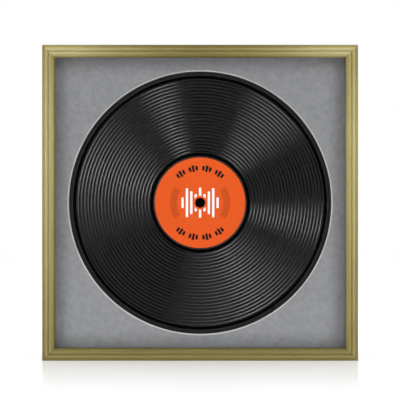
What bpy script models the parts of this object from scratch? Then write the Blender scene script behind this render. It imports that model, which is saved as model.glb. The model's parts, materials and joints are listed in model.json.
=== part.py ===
"""Square wall frame that shows a twelve-inch record behind a round mount.

Four mitred lengths of reeded moulding hold a stack that goes in from behind: a sheet of glass, a
mount board with a bevelled round window, the record in its spacer, a plain back mount and a hard
backing board. Turn buttons screwed to the rails keep the stack in, and two ring hangers and two
bumpers face the wall.

The frame stands upright on its bottom edge and faces -Y, with +Z up. The origin is the centre of
the whole object's box, at the height of the bottom edge. All sizes are in metres.
"""

import math

import bmesh
import bpy
from mathutils import Matrix

# Clearances and construction allowances
CLEARANCE = 0.0003  # between pieces that touch
BOARD_CLEARANCE = 0.0004  # on each side of a board in the rabbet
RECORD_CLEARANCE = 0.0004  # between the record's edge and its spacer
PAPER_GAP = 0.0001  # between a label and the record under it
WEDGE_CLEARANCE = 0.00015  # between a corner wedge and its slot
CUT_OVERRUN = 0.002  # how far a cutter runs past the surface it opens
WELD_DISTANCE = 0.000001
FLAT_ANGLE = 0.001  # in radians: faces that meet at less than this are one flat face

# Record
RECORD_DIAMETER = 0.3016
RECORD_THICKNESS = 0.0022
SPINDLE_HOLE_DIAMETER = 0.00724
LABEL_DIAMETER = 0.1030
LABEL_HOLE_DIAMETER = 0.0116
LABEL_THICKNESS = 0.0002
LABEL_SINK = 0.0001  # the label's face lies this far below the record's highest face
LABEL_BEAD_WIDTH = 0.0021  # raised ring round the label
DEAD_WAX_WIDTH = 0.0031  # flat ring between the label's bead and the grooves
LEAD_IN_WIDTH = 0.0034  # flat ring between the grooves and the rim
RIM_WIDTH = 0.0061
GROOVE_FIELD_DROP = 0.00045  # the grooved field lies this far below the rim
GROOVE_RIDGE_HEIGHT = 0.00030
GROOVE_RIDGES = 22

# Rim of the record, as shares of the rim's width and of the grooved field's drop
RIM_SHARES = ((0.10, 0.25), (0.27, 0.0), (0.55, 0.15), (0.90, 0.90), (1.0, 1.5))

# Boards and glass
BOARD_MARGIN = 0.0192  # a board reaches this far past the record on every side
GLASS_THICKNESS = 0.0020
MOUNT_THICKNESS = 0.0016
MOUNT_OVERLAP = 0.0015  # the window's sharp edge covers this much of the record's rim
BACK_MOUNT_THICKNESS = 0.0014
BACKING_THICKNESS = 0.0030

# Moulding
MOULDING_WIDTH = 0.0146
RABBET_WIDTH = 0.0050
LIP_DEPTH = 0.0070  # from the front of the moulding to the glass seat

# Curved stretches of the moulding's face, each through three points. A point is a share of the
# moulding's width, from its outer edge, and a share of the lip's depth, from the front.
OUTER_COVE_SHARES = ((0.0, 0.52), (0.125, 0.40), (0.225, 0.17))
OUTER_REED_SHARES = ((0.240, 0.17), (0.380, 0.0), (0.545, 0.13))
GROOVE_FLOOR_SHARES = (0.575, 0.25)
INNER_REED_SHARES = ((0.605, 0.15), (0.715, 0.06), (0.850, 0.19))
SIGHT_LIP_SHARES = ((0.865, 0.23), (0.955, 0.48), (1.0, 0.72))
FACE_STEPS = 6

# Corner wedges, pressed into the back of each mitre
WEDGE_WING = 0.0050
WEDGE_THICKNESS = 0.0005
WEDGE_HEIGHT = 0.0070
WEDGE_SINK = 0.0002  # below the back of the rails
WEDGE_INSET_SHARE = 0.34  # of the rail's back, from its outer edge

# Turn buttons and the screws that hold them and the hangers
BUTTON_REACH = 0.0150  # from the screw to the centre of the tip
BUTTON_ROOT_RADIUS = 0.0040
BUTTON_TIP_RADIUS = 0.0030
BUTTON_THICKNESS = 0.0012
BUTTON_PLACE_SHARES = (-0.28, 0.28)  # of the frame's size, from the middle of a rail
SCREW_LENGTH = 0.0100
SCREW_SHANK_RADIUS = 0.0014
SCREW_TIP_LENGTH = 0.0025
SCREW_HEAD_RADIUS = 0.0027
SCREW_HEAD_HEIGHT = 0.0016
SCREW_DOME_SHARES = ((0.0, 1.0), (0.45, 0.93), (0.80, 0.66), (1.0, 0.22), (1.0, 0.0))

# Ring hangers on the side rails
RING_WIRE_RADIUS = 0.0009
RING_INNER_WIDTH = 0.0074
RING_LENGTH = 0.0100  # from the hinge line to the middle of the wire at the far end
RING_CORNER_RADIUS = 0.0012
RING_EDGE_MARGIN = 0.0002  # from the ring's side to the frame's outer edge
STRAP_WIDTH = 0.0065
STRAP_THICKNESS = 0.0008
HANGER_HEIGHT_SHARE = 0.68  # of the frame's size, from its bottom edge

# Bumpers on the bottom rail
BUMPER_RADIUS = 0.0040
BUMPER_HEIGHT = 0.0030
BUMPER_EDGE = 0.0008
BUMPER_PLACE_SHARE = 0.42  # of the frame's size, from the middle of the rail

# Facets round a circle
RECORD_SEGMENTS = 60
BUMPER_SEGMENTS = 20
SCREW_SEGMENTS = 12
WIRE_RESOLUTION = 2
RING_STEPS = 4
BUTTON_STEPS = 4
EYE_STEPS = 14

# Sizes that follow from those above
RECORD_RADIUS = RECORD_DIAMETER / 2
BOARD_SIZE = RECORD_DIAMETER + 2 * BOARD_MARGIN
RABBET_SIZE = BOARD_SIZE + 2 * BOARD_CLEARANCE
BACK_WIDTH = MOULDING_WIDTH - RABBET_WIDTH
FRAME_SIZE = RABBET_SIZE + 2 * BACK_WIDTH

# Depths of the stack's front faces, measured back from the front of the moulding
GLASS_DEPTH = LIP_DEPTH + CLEARANCE
MOUNT_DEPTH = GLASS_DEPTH + GLASS_THICKNESS + CLEARANCE
RECORD_DEPTH = MOUNT_DEPTH + MOUNT_THICKNESS + CLEARANCE
BACK_MOUNT_DEPTH = RECORD_DEPTH + RECORD_THICKNESS + CLEARANCE
BACKING_DEPTH = BACK_MOUNT_DEPTH + BACK_MOUNT_THICKNESS + CLEARANCE
MOULDING_DEPTH = BACKING_DEPTH + BACKING_THICKNESS
HARDWARE_DEPTH = MOULDING_DEPTH + CLEARANCE

# Hanger and screw sizes that follow
SCREW_HOLE_RADIUS = SCREW_SHANK_RADIUS + CLEARANCE
EYE_HOLE_RADIUS = RING_WIRE_RADIUS + CLEARANCE
EYE_RADIUS = EYE_HOLE_RADIUS + STRAP_THICKNESS
RING_HALF_WIDTH = RING_INNER_WIDTH / 2 + RING_WIRE_RADIUS
HANGER_INSET = RING_HALF_WIDTH + RING_WIRE_RADIUS + RING_EDGE_MARGIN
STRAP_SCREW_DISTANCE = RING_LENGTH + RING_WIRE_RADIUS + CLEARANCE + SCREW_HEAD_RADIUS + CLEARANCE
BACK_REACH = max(2 * EYE_RADIUS, BUMPER_HEIGHT, STRAP_THICKNESS + CLEARANCE + SCREW_HEAD_HEIGHT)
TOTAL_DEPTH = HARDWARE_DEPTH + BACK_REACH
FRONT_Y = -TOTAL_DEPTH / 2

# Names of the rails and the turn about +Y that brings a rail's inner side round to face the centre
RAIL_TURNS = {"bottom": 0.0, "left": math.pi / 2, "top": math.pi, "right": 3 * math.pi / 2}

# Turns between the plane that a shape is drawn in and the plane that it stands in
PROFILE_TO_RAIL = Matrix.Rotation(-math.pi / 2, 4, "Y")
AXIS_TO_FRONT = Matrix.Rotation(math.pi / 2, 4, "X")
AXIS_TO_BACK = Matrix.Rotation(-math.pi / 2, 4, "X")
PROFILE_TO_STRAP = Matrix.Rotation(math.pi / 2, 4, "Y")

# Base colour, roughness and metallic value of each finish
FINISHES = {
    "gold_foil": ((0.46, 0.37, 0.15), 0.36, 0.85),
    "clear_glass": ((0.95, 0.97, 0.97), 0.03, 0.0),
    "grey_board": ((0.26, 0.26, 0.27), 0.90, 0.0),
    "black_vinyl": ((0.012, 0.012, 0.013), 0.22, 0.0),
    "orange_paper": ((0.85, 0.11, 0.02), 0.70, 0.0),
    "white_board": ((0.74, 0.73, 0.70), 0.90, 0.0),
    "black_board": ((0.02, 0.02, 0.02), 0.90, 0.0),
    "brown_hardboard": ((0.33, 0.21, 0.12), 0.85, 0.0),
    "zinc_steel": ((0.62, 0.62, 0.60), 0.35, 1.0),
    "brass_plate": ((0.72, 0.55, 0.24), 0.30, 1.0),
    "clear_rubber": ((0.55, 0.55, 0.53), 0.55, 0.0),
}


def clear_scene():
    """Remove every object that the file opened with."""
    for obj in list(bpy.data.objects):
        bpy.data.objects.remove(obj)


def new_collection(name):
    """Return a new collection, linked to the scene."""
    collection = bpy.data.collections.new(name)
    bpy.context.scene.collection.children.link(collection)
    return collection


def add_part(parts, obj, finish):
    """Put a finished sub-part in its collection and give it a material of its own."""
    colour, roughness, metallic = FINISHES[finish]
    material = bpy.data.materials.new(obj.name)
    material.use_nodes = True
    shader = material.node_tree.nodes["Principled BSDF"]
    shader.inputs["Base Color"].default_value = (*colour, 1)
    shader.inputs["Roughness"].default_value = roughness
    shader.inputs["Metallic"].default_value = metallic
    obj.data.materials.clear()
    obj.data.materials.append(material)
    parts.objects.link(obj)
    return obj


def add_cutter(cutters, obj):
    """Put a cutter in its collection, shown as wire and never rendered."""
    obj.hide_render = True
    obj.display_type = "WIRE"
    cutters.objects.link(obj)
    return obj


def combine(obj, tool, operation):
    """Cut an object by a tool, or keep only what lies inside the tool."""
    modifier = obj.modifiers.new(tool.name, "BOOLEAN")
    modifier.operation = operation
    modifier.solver = "EXACT"
    modifier.object = tool


def box(name, size, centre):
    """Return a box with its size in the mesh."""
    mesh = bpy.data.meshes.new(name)
    bm = bmesh.new()
    bmesh.ops.create_cube(bm, size=1)
    bmesh.ops.scale(bm, vec=size, verts=bm.verts)
    bm.to_mesh(mesh)
    bm.free()
    obj = bpy.data.objects.new(name, mesh)
    obj.location = centre
    return obj


def cone(name, radius_low, radius_high, length, segments):
    """Return a closed cone or cylinder about Z, centred on its own middle."""
    mesh = bpy.data.meshes.new(name)
    bm = bmesh.new()
    bmesh.ops.create_cone(
        bm,
        cap_ends=True,
        segments=segments,
        radius1=radius_low,
        radius2=radius_high,
        depth=length,
    )
    bm.to_mesh(mesh)
    bm.free()
    return bpy.data.objects.new(name, mesh)


def flat_shape(name, outlines, thickness):
    """Return a filled flat curve of one or more closed outlines, extruded to a thickness."""
    curve = bpy.data.curves.new(name, "CURVE")
    curve.dimensions = "2D"
    curve.fill_mode = "BOTH"
    curve.extrude = thickness / 2
    for outline in outlines:
        spline = curve.splines.new("POLY")
        spline.points.add(len(outline) - 1)
        for point, (x, y) in zip(spline.points, outline):
            point.co = (x, y, 0, 1)
        spline.use_cyclic_u = True
    return bpy.data.objects.new(name, curve)


def mesh_shape(name, outlines, thickness):
    """Return an extruded flat shape as a welded mesh with whole flat ends, ready to cut or be cut."""
    source = flat_shape(name, outlines, thickness)
    bpy.context.scene.collection.objects.link(source)
    evaluated = source.evaluated_get(bpy.context.evaluated_depsgraph_get())
    mesh = bpy.data.meshes.new_from_object(evaluated)
    mesh.name = name
    bpy.data.objects.remove(source)
    bm = bmesh.new()
    bm.from_mesh(mesh)
    bmesh.ops.remove_doubles(bm, verts=bm.verts, dist=WELD_DISTANCE)
    bmesh.ops.dissolve_limit(bm, angle_limit=FLAT_ANGLE, verts=bm.verts, edges=bm.edges)
    bmesh.ops.recalc_face_normals(bm, faces=bm.faces)
    bm.to_mesh(mesh)
    bm.free()
    return bpy.data.objects.new(name, mesh)


def turned(name, profile, segments, closed):
    """Return a profile of (radius, height) points turned about Z.

    An open profile starts and ends on the axis. Both kinds run down their outer side.
    """
    mesh = bpy.data.meshes.new(name)
    points = [(radius, 0, height) for radius, height in profile]
    edges = [(index, index + 1) for index in range(len(points) - 1)]
    if closed:
        edges.append((len(points) - 1, 0))
    mesh.from_pydata(points, edges, [])
    obj = bpy.data.objects.new(name, mesh)
    screw = obj.modifiers.new("turning", "SCREW")
    screw.steps = segments
    screw.render_steps = segments
    screw.use_merge_vertices = True
    screw.merge_threshold = WELD_DISTANCE
    screw.use_smooth_shade = True
    return obj


def curve_through(start, crown, end, steps):
    """Return points along the smooth bow that runs from start through crown to end."""
    points = []
    for step in range(steps + 1):
        t = step / steps
        pull = 2 * t * (1 - t)
        point = []
        for a, b, c in zip(start, crown, end):
            handle = 2 * b - (a + c) / 2
            point.append((1 - t) ** 2 * a + pull * handle + t**2 * c)
        points.append(tuple(point))
    return points


def arc(centre, radius, first, last, steps):
    """Return points on a circle from one angle to another."""
    points = []
    for step in range(steps + 1):
        angle = first + (last - first) * step / steps
        points.append((centre[0] + radius * math.cos(angle), centre[1] + radius * math.sin(angle)))
    return points


def circle(radius, segments):
    """Return the points of a full circle about the origin."""
    return arc((0, 0), radius, 0, 2 * math.pi, segments)[:-1]


def square(size):
    """Return the corners of a square about the origin."""
    half = size / 2
    return [(-half, -half), (half, -half), (half, half), (-half, half)]


def place(x, depth, z):
    """Return the placement of a point given by its depth behind the front of the moulding."""
    return Matrix.Translation((x, FRONT_Y + depth, z))


def on_rail(turn, along, depth, inward):
    """Return the placement of a point on a rail.

    The point is given along the rail from its middle, behind the front of the moulding, and
    inward from the rail's outer edge.
    """
    to_centre = place(0, 0, FRAME_SIZE / 2)
    to_edge = Matrix.Translation((along, depth, inward - FRAME_SIZE / 2))
    return to_centre @ Matrix.Rotation(turn, 4, "Y") @ to_edge


def moulding_face_points():
    """Return the moulded face as points of width and depth, from the outer edge inwards."""
    shares = curve_through(*OUTER_COVE_SHARES, FACE_STEPS)
    shares += curve_through(*OUTER_REED_SHARES, FACE_STEPS)
    shares.append(GROOVE_FLOOR_SHARES)
    shares += curve_through(*INNER_REED_SHARES, FACE_STEPS)
    shares += curve_through(*SIGHT_LIP_SHARES, FACE_STEPS)
    return [(across * MOULDING_WIDTH, down * LIP_DEPTH) for across, down in shares]


def moulding_outline():
    """Return the whole section of the moulding, with its rabbet."""
    outline = moulding_face_points()
    outline.append((MOULDING_WIDTH, LIP_DEPTH))
    outline.append((BACK_WIDTH, LIP_DEPTH))
    outline.append((BACK_WIDTH, MOULDING_DEPTH))
    outline.append((0, MOULDING_DEPTH))
    return outline


def mitre_ends(mesh):
    """Slant both ends of a straight length at 45 degrees, with half the clearance at each."""
    end_gap = CLEARANCE / math.sqrt(2)
    for vertex in mesh.vertices:
        shortening = vertex.co.x + end_gap
        vertex.co.z -= math.copysign(shortening, vertex.co.z)


def make_rail(parts, side, turn):
    """Make one mitred rail from its moulding section."""
    rail = mesh_shape("rail_" + side, [moulding_outline()], FRAME_SIZE)
    mitre_ends(rail.data)
    rail.data.shade_smooth()
    rail.data.set_sharp_from_angle(angle=math.radians(35))
    rail.matrix_world = on_rail(turn, 0, 0, 0) @ PROFILE_TO_RAIL
    return add_part(parts, rail, "gold_foil")


def wedge_outline(grown):
    """Return the angle-shaped section of a corner wedge, grown outwards by an allowance."""
    start = -grown
    tip = WEDGE_WING + grown
    inner = WEDGE_THICKNESS + grown
    return [(start, start), (tip, start), (tip, inner), (inner, inner), (inner, tip), (start, tip)]


def make_corner_wedge(parts, cutters, corner, turn, rails):
    """Press an angle-shaped wedge into the back of a mitre and slot both rails for it."""
    inset = WEDGE_INSET_SHARE * BACK_WIDTH
    centre_depth = MOULDING_DEPTH - WEDGE_SINK - WEDGE_HEIGHT / 2
    seat = on_rail(turn, inset - FRAME_SIZE / 2, centre_depth, inset) @ AXIS_TO_FRONT
    wedge = flat_shape("corner_wedge_" + corner, [wedge_outline(0)], WEDGE_HEIGHT)
    wedge.matrix_world = seat
    add_part(parts, wedge, "zinc_steel")
    slot_height = WEDGE_HEIGHT + 2 * (WEDGE_SINK + CUT_OVERRUN)
    slot = mesh_shape("slot_" + corner, [wedge_outline(WEDGE_CLEARANCE)], slot_height)
    floor_shift = CUT_OVERRUN + WEDGE_SINK - WEDGE_CLEARANCE
    slot.matrix_world = Matrix.Translation((0, floor_shift, 0)) @ seat
    add_cutter(cutters, slot)
    for rail in rails:
        combine(rail, slot, "DIFFERENCE")


def make_glass(parts):
    """Make the sheet of glass that lies against the lip."""
    centre = (0, FRONT_Y + GLASS_DEPTH + GLASS_THICKNESS / 2, FRAME_SIZE / 2)
    glass = box("glass_sheet", (BOARD_SIZE, GLASS_THICKNESS, BOARD_SIZE), centre)
    return add_part(parts, glass, "clear_glass")


def make_mount_board(parts, cutters):
    """Make the mount board with its round window, bevelled at 45 degrees."""
    centre_depth = MOUNT_DEPTH + MOUNT_THICKNESS / 2
    centre = (0, FRONT_Y + centre_depth, FRAME_SIZE / 2)
    board = box("mount_board", (BOARD_SIZE, MOUNT_THICKNESS, BOARD_SIZE), centre)
    back_radius = RECORD_RADIUS - MOUNT_OVERLAP
    window = cone(
        "mount_window",
        back_radius - CUT_OVERRUN,
        back_radius + MOUNT_THICKNESS + CUT_OVERRUN,
        MOUNT_THICKNESS + 2 * CUT_OVERRUN,
        RECORD_SEGMENTS,
    )
    window.matrix_world = place(0, centre_depth, FRAME_SIZE / 2) @ AXIS_TO_FRONT
    add_cutter(cutters, window)
    combine(board, window, "DIFFERENCE")
    return add_part(parts, board, "grey_board")


def groove_field_points(inner, outer, floor):
    """Return the ridged field between two radii, a crest and a valley for each ridge."""
    pitch = (outer - inner) / GROOVE_RIDGES
    points = [(inner, floor)]
    for ridge in range(GROOVE_RIDGES):
        crest = inner + (ridge + 0.5) * pitch
        points.append((crest, floor + GROOVE_RIDGE_HEIGHT))
        points.append((crest + pitch / 2, floor))
    return points


def record_face_points(ridged):
    """Return one face of the record from the spindle hole outwards, as (radius, height)."""
    top = RECORD_THICKNESS / 2
    label_face = top - LABEL_SINK
    label_seat = label_face - LABEL_THICKNESS - PAPER_GAP
    boss = LABEL_HOLE_DIAMETER / 2 - CLEARANCE
    bead_inner = LABEL_DIAMETER / 2 + CLEARANCE
    bead_outer = bead_inner + LABEL_BEAD_WIDTH
    field_inner = bead_outer + DEAD_WAX_WIDTH
    rim_inner = RECORD_RADIUS - RIM_WIDTH
    field_outer = rim_inner - LEAD_IN_WIDTH
    floor = top - GROOVE_FIELD_DROP
    points = [(SPINDLE_HOLE_DIAMETER / 2, label_face), (boss, label_face)]
    points += [(boss, label_seat), (bead_inner, label_seat), (bead_inner, label_face)]
    points += [((bead_inner + bead_outer) / 2, top), (bead_outer, floor)]
    if ridged:
        points += groove_field_points(field_inner, field_outer, floor)
    points.append((rim_inner, floor))
    for across, down in RIM_SHARES:
        points.append((rim_inner + across * RIM_WIDTH, top - down * GROOVE_FIELD_DROP))
    return points


def make_record(parts):
    """Turn the record: ridged in front, and with a plain field behind, where nothing shows."""
    front = record_face_points(ridged=True)
    back = [(radius, -height) for radius, height in record_face_points(ridged=False)]
    record = turned("record_disc", front + back[::-1], RECORD_SEGMENTS, closed=True)
    centre_depth = RECORD_DEPTH + RECORD_THICKNESS / 2
    record.matrix_world = place(0, centre_depth, FRAME_SIZE / 2) @ AXIS_TO_FRONT
    return add_part(parts, record, "black_vinyl")


def make_label(parts, name, axis_turn):
    """Turn one paper label, sunk in its side of the record."""
    face = RECORD_THICKNESS / 2 - LABEL_SINK
    inner = LABEL_HOLE_DIAMETER / 2
    outer = LABEL_DIAMETER / 2
    back = face - LABEL_THICKNESS
    profile = [(inner, face), (outer, face), (outer, back), (inner, back)]
    label = turned(name, profile, RECORD_SEGMENTS, closed=True)
    centre_depth = RECORD_DEPTH + RECORD_THICKNESS / 2
    label.matrix_world = place(0, centre_depth, FRAME_SIZE / 2) @ axis_turn
    return add_part(parts, label, "orange_paper")


def make_record_spacer(parts):
    """Make the spacer board whose round cut-out holds the record."""
    cut_out = circle(RECORD_RADIUS + RECORD_CLEARANCE, RECORD_SEGMENTS)
    spacer = flat_shape("record_spacer", [square(BOARD_SIZE), cut_out], RECORD_THICKNESS)
    centre_depth = RECORD_DEPTH + RECORD_THICKNESS / 2
    spacer.matrix_world = place(0, centre_depth, FRAME_SIZE / 2) @ AXIS_TO_FRONT
    return add_part(parts, spacer, "white_board")


def make_backs(parts):
    """Make the back mount and the hard backing board, which lies flush with the rails."""
    boards = (
        ("back_mount", BACK_MOUNT_DEPTH, BACK_MOUNT_THICKNESS, "black_board"),
        ("backing_board", BACKING_DEPTH, BACKING_THICKNESS, "brown_hardboard"),
    )
    for name, depth, thickness, finish in boards:
        centre = (0, FRONT_Y + depth + thickness / 2, FRAME_SIZE / 2)
        add_part(parts, box(name, (BOARD_SIZE, thickness, BOARD_SIZE), centre), finish)


def screw_profile():
    """Return the screw from the top of its domed head to its point, with height 0 under the head."""
    dome = [(across * SCREW_HEAD_RADIUS, up * SCREW_HEAD_HEIGHT) for across, up in SCREW_DOME_SHARES]
    shank = [(SCREW_SHANK_RADIUS, 0), (SCREW_SHANK_RADIUS, SCREW_TIP_LENGTH - SCREW_LENGTH)]
    return dome + shank + [(0, -SCREW_LENGTH)]


def make_screw(parts, cutters, name, seat, rail):
    """Drive a screw whose head sits on a seat, and drill its hole in the rail.

    The seat's Y axis points to the wall.
    """
    screw = turned(name, screw_profile(), SCREW_SEGMENTS, closed=False)
    screw.matrix_world = seat @ Matrix.Translation((0, CLEARANCE, 0)) @ AXIS_TO_BACK
    add_part(parts, screw, "zinc_steel")
    drill_hole(cutters, name, seat, rail)


def drill_hole(cutters, name, seat, piece):
    """Drill the hole that clears a screw, from well behind its seat to just past its point."""
    hole = cone(
        "hole_for_" + name,
        SCREW_HOLE_RADIUS,
        SCREW_HOLE_RADIUS,
        SCREW_LENGTH + CUT_OVERRUN,
        SCREW_SEGMENTS,
    )
    centre = CUT_OVERRUN / 2 - SCREW_LENGTH / 2
    hole.matrix_world = seat @ Matrix.Translation((0, centre, 0)) @ AXIS_TO_BACK
    add_cutter(cutters, hole)
    combine(piece, hole, "DIFFERENCE")


def button_outline():
    """Return the teardrop of a turn button, from its screw at the origin to its tip along +Y."""
    lean = math.asin((BUTTON_ROOT_RADIUS - BUTTON_TIP_RADIUS) / BUTTON_REACH)
    tip = arc((0, BUTTON_REACH), BUTTON_TIP_RADIUS, lean, math.pi - lean, BUTTON_STEPS)
    root = arc((0, 0), BUTTON_ROOT_RADIUS, math.pi - lean, 2 * math.pi + lean, 2 * BUTTON_STEPS)
    return tip + root


def make_turn_button(parts, cutters, name, turn, along, rail):
    """Make a turn button lying across the backing board, and its screw in the rail."""
    inward = BACK_WIDTH / 2
    outlines = [button_outline(), circle(SCREW_HOLE_RADIUS, SCREW_SEGMENTS)]
    button = flat_shape("turn_button_" + name, outlines, BUTTON_THICKNESS)
    centre_depth = HARDWARE_DEPTH + BUTTON_THICKNESS / 2
    button.matrix_world = on_rail(turn, along, centre_depth, inward) @ AXIS_TO_FRONT
    add_part(parts, button, "brass_plate")
    seat = on_rail(turn, along, HARDWARE_DEPTH + BUTTON_THICKNESS, inward)
    make_screw(parts, cutters, "button_screw_" + name, seat, rail)


def strap_side_outlines():
    """Return the strap seen from the side, along +X and up +Y, and the bore of its curled eye."""
    centre = (0, EYE_RADIUS)
    meeting = math.asin((EYE_RADIUS - STRAP_THICKNESS) / EYE_RADIUS)
    eye = arc(centre, EYE_RADIUS, -meeting, 3 * math.pi / 2, EYE_STEPS)
    length = STRAP_SCREW_DISTANCE + STRAP_WIDTH / 2
    tail = [(length, 0), (length, STRAP_THICKNESS)]
    bore = [(x, y + EYE_RADIUS) for x, y in circle(EYE_HOLE_RADIUS, SCREW_SEGMENTS)]
    return [eye + tail, bore]


def strap_plan_outline():
    """Return the strap seen from the wall, square at the eye and round at the tail."""
    half = STRAP_WIDTH / 2
    start = -EYE_RADIUS - CUT_OVERRUN
    tail = arc((STRAP_SCREW_DISTANCE, 0), half, -math.pi / 2, math.pi / 2, 2 * BUTTON_STEPS)
    return [(start, -half)] + tail + [(start, half)]


def make_strap(parts, cutters, side, base):
    """Make a hanger's strap, curled round the ring's bar and rounded at its screw."""
    strap = mesh_shape("hanger_strap_" + side, strap_side_outlines(), STRAP_WIDTH + CUT_OVERRUN)
    strap.matrix_world = base @ PROFILE_TO_STRAP
    plan = mesh_shape("strap_plan_" + side, [strap_plan_outline()], 3 * EYE_RADIUS)
    rise = Matrix.Translation((0, EYE_RADIUS, 0))
    plan.matrix_world = base @ rise @ PROFILE_TO_STRAP @ AXIS_TO_BACK
    add_cutter(cutters, plan)
    combine(strap, plan, "INTERSECT")
    return add_part(parts, strap, "zinc_steel")


def ring_points():
    """Return the ring's path: its bar on the X axis, its legs and its round end below."""
    turn_in = RING_HALF_WIDTH - RING_CORNER_RADIUS
    round_end = RING_LENGTH - RING_HALF_WIDTH
    corner = arc((turn_in, -RING_CORNER_RADIUS), RING_CORNER_RADIUS, math.pi / 2, 0, RING_STEPS - 1)
    bow = arc((0, -round_end), RING_HALF_WIDTH, 0, -math.pi, 2 * RING_STEPS)
    mirrored = [(-x, z) for x, z in reversed(corner)]
    return corner + bow + mirrored


def make_ring(parts, side, hinge):
    """Make a hanger's ring of bent wire, hanging from its bar."""
    name = "hanger_ring_" + side
    curve = bpy.data.curves.new(name, "CURVE")
    curve.dimensions = "3D"
    curve.bevel_depth = RING_WIRE_RADIUS
    curve.bevel_resolution = WIRE_RESOLUTION
    path = ring_points()
    spline = curve.splines.new("POLY")
    spline.points.add(len(path) - 1)
    for point, (x, z) in zip(spline.points, path):
        point.co = (x, 0, z, 1)
    spline.use_cyclic_u = True
    ring = bpy.data.objects.new(name, curve)
    ring.matrix_world = hinge
    return add_part(parts, ring, "zinc_steel")


def make_hanger(parts, cutters, side, x, rail):
    """Make one ring hanger: its strap, ring and screw."""
    height = HANGER_HEIGHT_SHARE * FRAME_SIZE
    base = place(x, HARDWARE_DEPTH, height)
    strap = make_strap(parts, cutters, side, base)
    make_ring(parts, side, place(x, HARDWARE_DEPTH + EYE_RADIUS, height))
    seat = place(x, HARDWARE_DEPTH + STRAP_THICKNESS, height - STRAP_SCREW_DISTANCE)
    make_screw(parts, cutters, "hanger_screw_" + side, seat, rail)
    drill_hole(cutters, "strap_" + side, seat, strap)


def make_bumper(parts, side, x):
    """Turn a soft bumper stuck to the back of the bottom rail."""
    flat = BUMPER_RADIUS - BUMPER_EDGE
    shoulder = BUMPER_HEIGHT - BUMPER_EDGE
    profile = [(0, BUMPER_HEIGHT), (flat, BUMPER_HEIGHT), (BUMPER_RADIUS, shoulder)]
    profile += [(BUMPER_RADIUS, 0), (0, 0)]
    bumper = turned("wall_bumper_" + side, profile, BUMPER_SEGMENTS, closed=False)
    bumper.matrix_world = place(x, HARDWARE_DEPTH, BACK_WIDTH / 2) @ AXIS_TO_BACK
    return add_part(parts, bumper, "clear_rubber")


def main():
    """Build the whole frame."""
    clear_scene()
    parts = new_collection("record_frame")
    cutters = new_collection("record_frame_cutters")
    rails = {side: make_rail(parts, side, turn) for side, turn in RAIL_TURNS.items()}
    sides = list(RAIL_TURNS)
    for index, side in enumerate(sides):
        neighbour = sides[(index + 1) % len(sides)]
        meeting = (rails[side], rails[neighbour])
        make_corner_wedge(parts, cutters, side + "_" + neighbour, RAIL_TURNS[side], meeting)
    make_glass(parts)
    make_mount_board(parts, cutters)
    make_record(parts)
    make_label(parts, "record_label_front", AXIS_TO_FRONT)
    make_label(parts, "record_label_back", AXIS_TO_BACK)
    make_record_spacer(parts)
    make_backs(parts)
    for side, turn in RAIL_TURNS.items():
        for number, share in enumerate(BUTTON_PLACE_SHARES, start=1):
            name = side + "_" + str(number)
            make_turn_button(parts, cutters, name, turn, share * FRAME_SIZE, rails[side])
    hanger_x = FRAME_SIZE / 2 - HANGER_INSET
    bumper_x = BUMPER_PLACE_SHARE * FRAME_SIZE
    for side, sign in (("left", -1), ("right", 1)):
        make_hanger(parts, cutters, side, sign * hanger_x, rails[side])
        make_bumper(parts, side, sign * bumper_x)


main()
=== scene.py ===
"""Square gold wall frame that shows a twelve-inch record behind a round grey mount.

The file is laid out as a Blender add-on: settings, one operator for each piece or group of like
pieces, one for the stage, and a panel in the 3D view's sidebar. Sizes are in metres. The frame
stands on its bottom edge and faces -Y.
"""

from functools import partialmethod
import json
import math

import bmesh
import bpy
from mathutils import Matrix, Vector


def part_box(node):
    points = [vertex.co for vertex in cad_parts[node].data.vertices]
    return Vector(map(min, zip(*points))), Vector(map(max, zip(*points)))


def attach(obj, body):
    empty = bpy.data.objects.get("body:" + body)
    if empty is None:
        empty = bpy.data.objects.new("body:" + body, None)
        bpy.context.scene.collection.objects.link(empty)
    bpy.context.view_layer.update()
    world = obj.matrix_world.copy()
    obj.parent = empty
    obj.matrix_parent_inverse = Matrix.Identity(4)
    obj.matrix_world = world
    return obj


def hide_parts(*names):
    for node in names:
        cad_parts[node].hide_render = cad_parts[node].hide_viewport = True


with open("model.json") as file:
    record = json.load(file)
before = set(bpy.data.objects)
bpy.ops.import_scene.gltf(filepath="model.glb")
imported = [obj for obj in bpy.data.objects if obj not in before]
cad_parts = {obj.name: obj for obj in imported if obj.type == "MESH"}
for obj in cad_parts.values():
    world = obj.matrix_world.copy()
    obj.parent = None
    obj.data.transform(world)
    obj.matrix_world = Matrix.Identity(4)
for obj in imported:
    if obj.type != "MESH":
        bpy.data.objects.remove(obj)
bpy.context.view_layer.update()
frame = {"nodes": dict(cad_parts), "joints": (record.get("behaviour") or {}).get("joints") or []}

bl_info = {
    "name": "Vinyl Record Frame",
    "version": (1, 0, 0),
    "blender": (4, 5, 0),
    "location": "3D View > Sidebar > Record Frame",
    "description": "Builds a gold wall frame that shows a twelve-inch record behind a round mount",
    "category": "Object",
}

# Places that the packed model gives
FRONT_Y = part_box("rail_bottom")[0].y
RAIL_BACK_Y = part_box("rail_bottom")[1].y
RAIL_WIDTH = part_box("rail_bottom")[1].z
FRAME_HALF = CENTRE_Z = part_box("rail_right")[1].x
GLASS_FRONT_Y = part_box("glass_sheet")[0].y
RABBET_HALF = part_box("glass_sheet")[1].x + 0.0004
BOARD_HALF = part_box("mount_board")[1].x
MOUNT_FRONT_Y, MOUNT_BACK_Y = (corner.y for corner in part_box("mount_board"))
RECORD_FRONT_Y, RECORD_BACK_Y = (corner.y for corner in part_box("record_disc"))
RECORD_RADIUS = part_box("record_disc")[1].x
LABEL_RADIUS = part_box("record_label_front")[1].x + 0.0002
LABEL_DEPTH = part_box("record_label_front")[1].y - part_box("record_label_front")[0].y
JOINTS = {joint["child"]: joint for joint in frame["joints"]}

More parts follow.
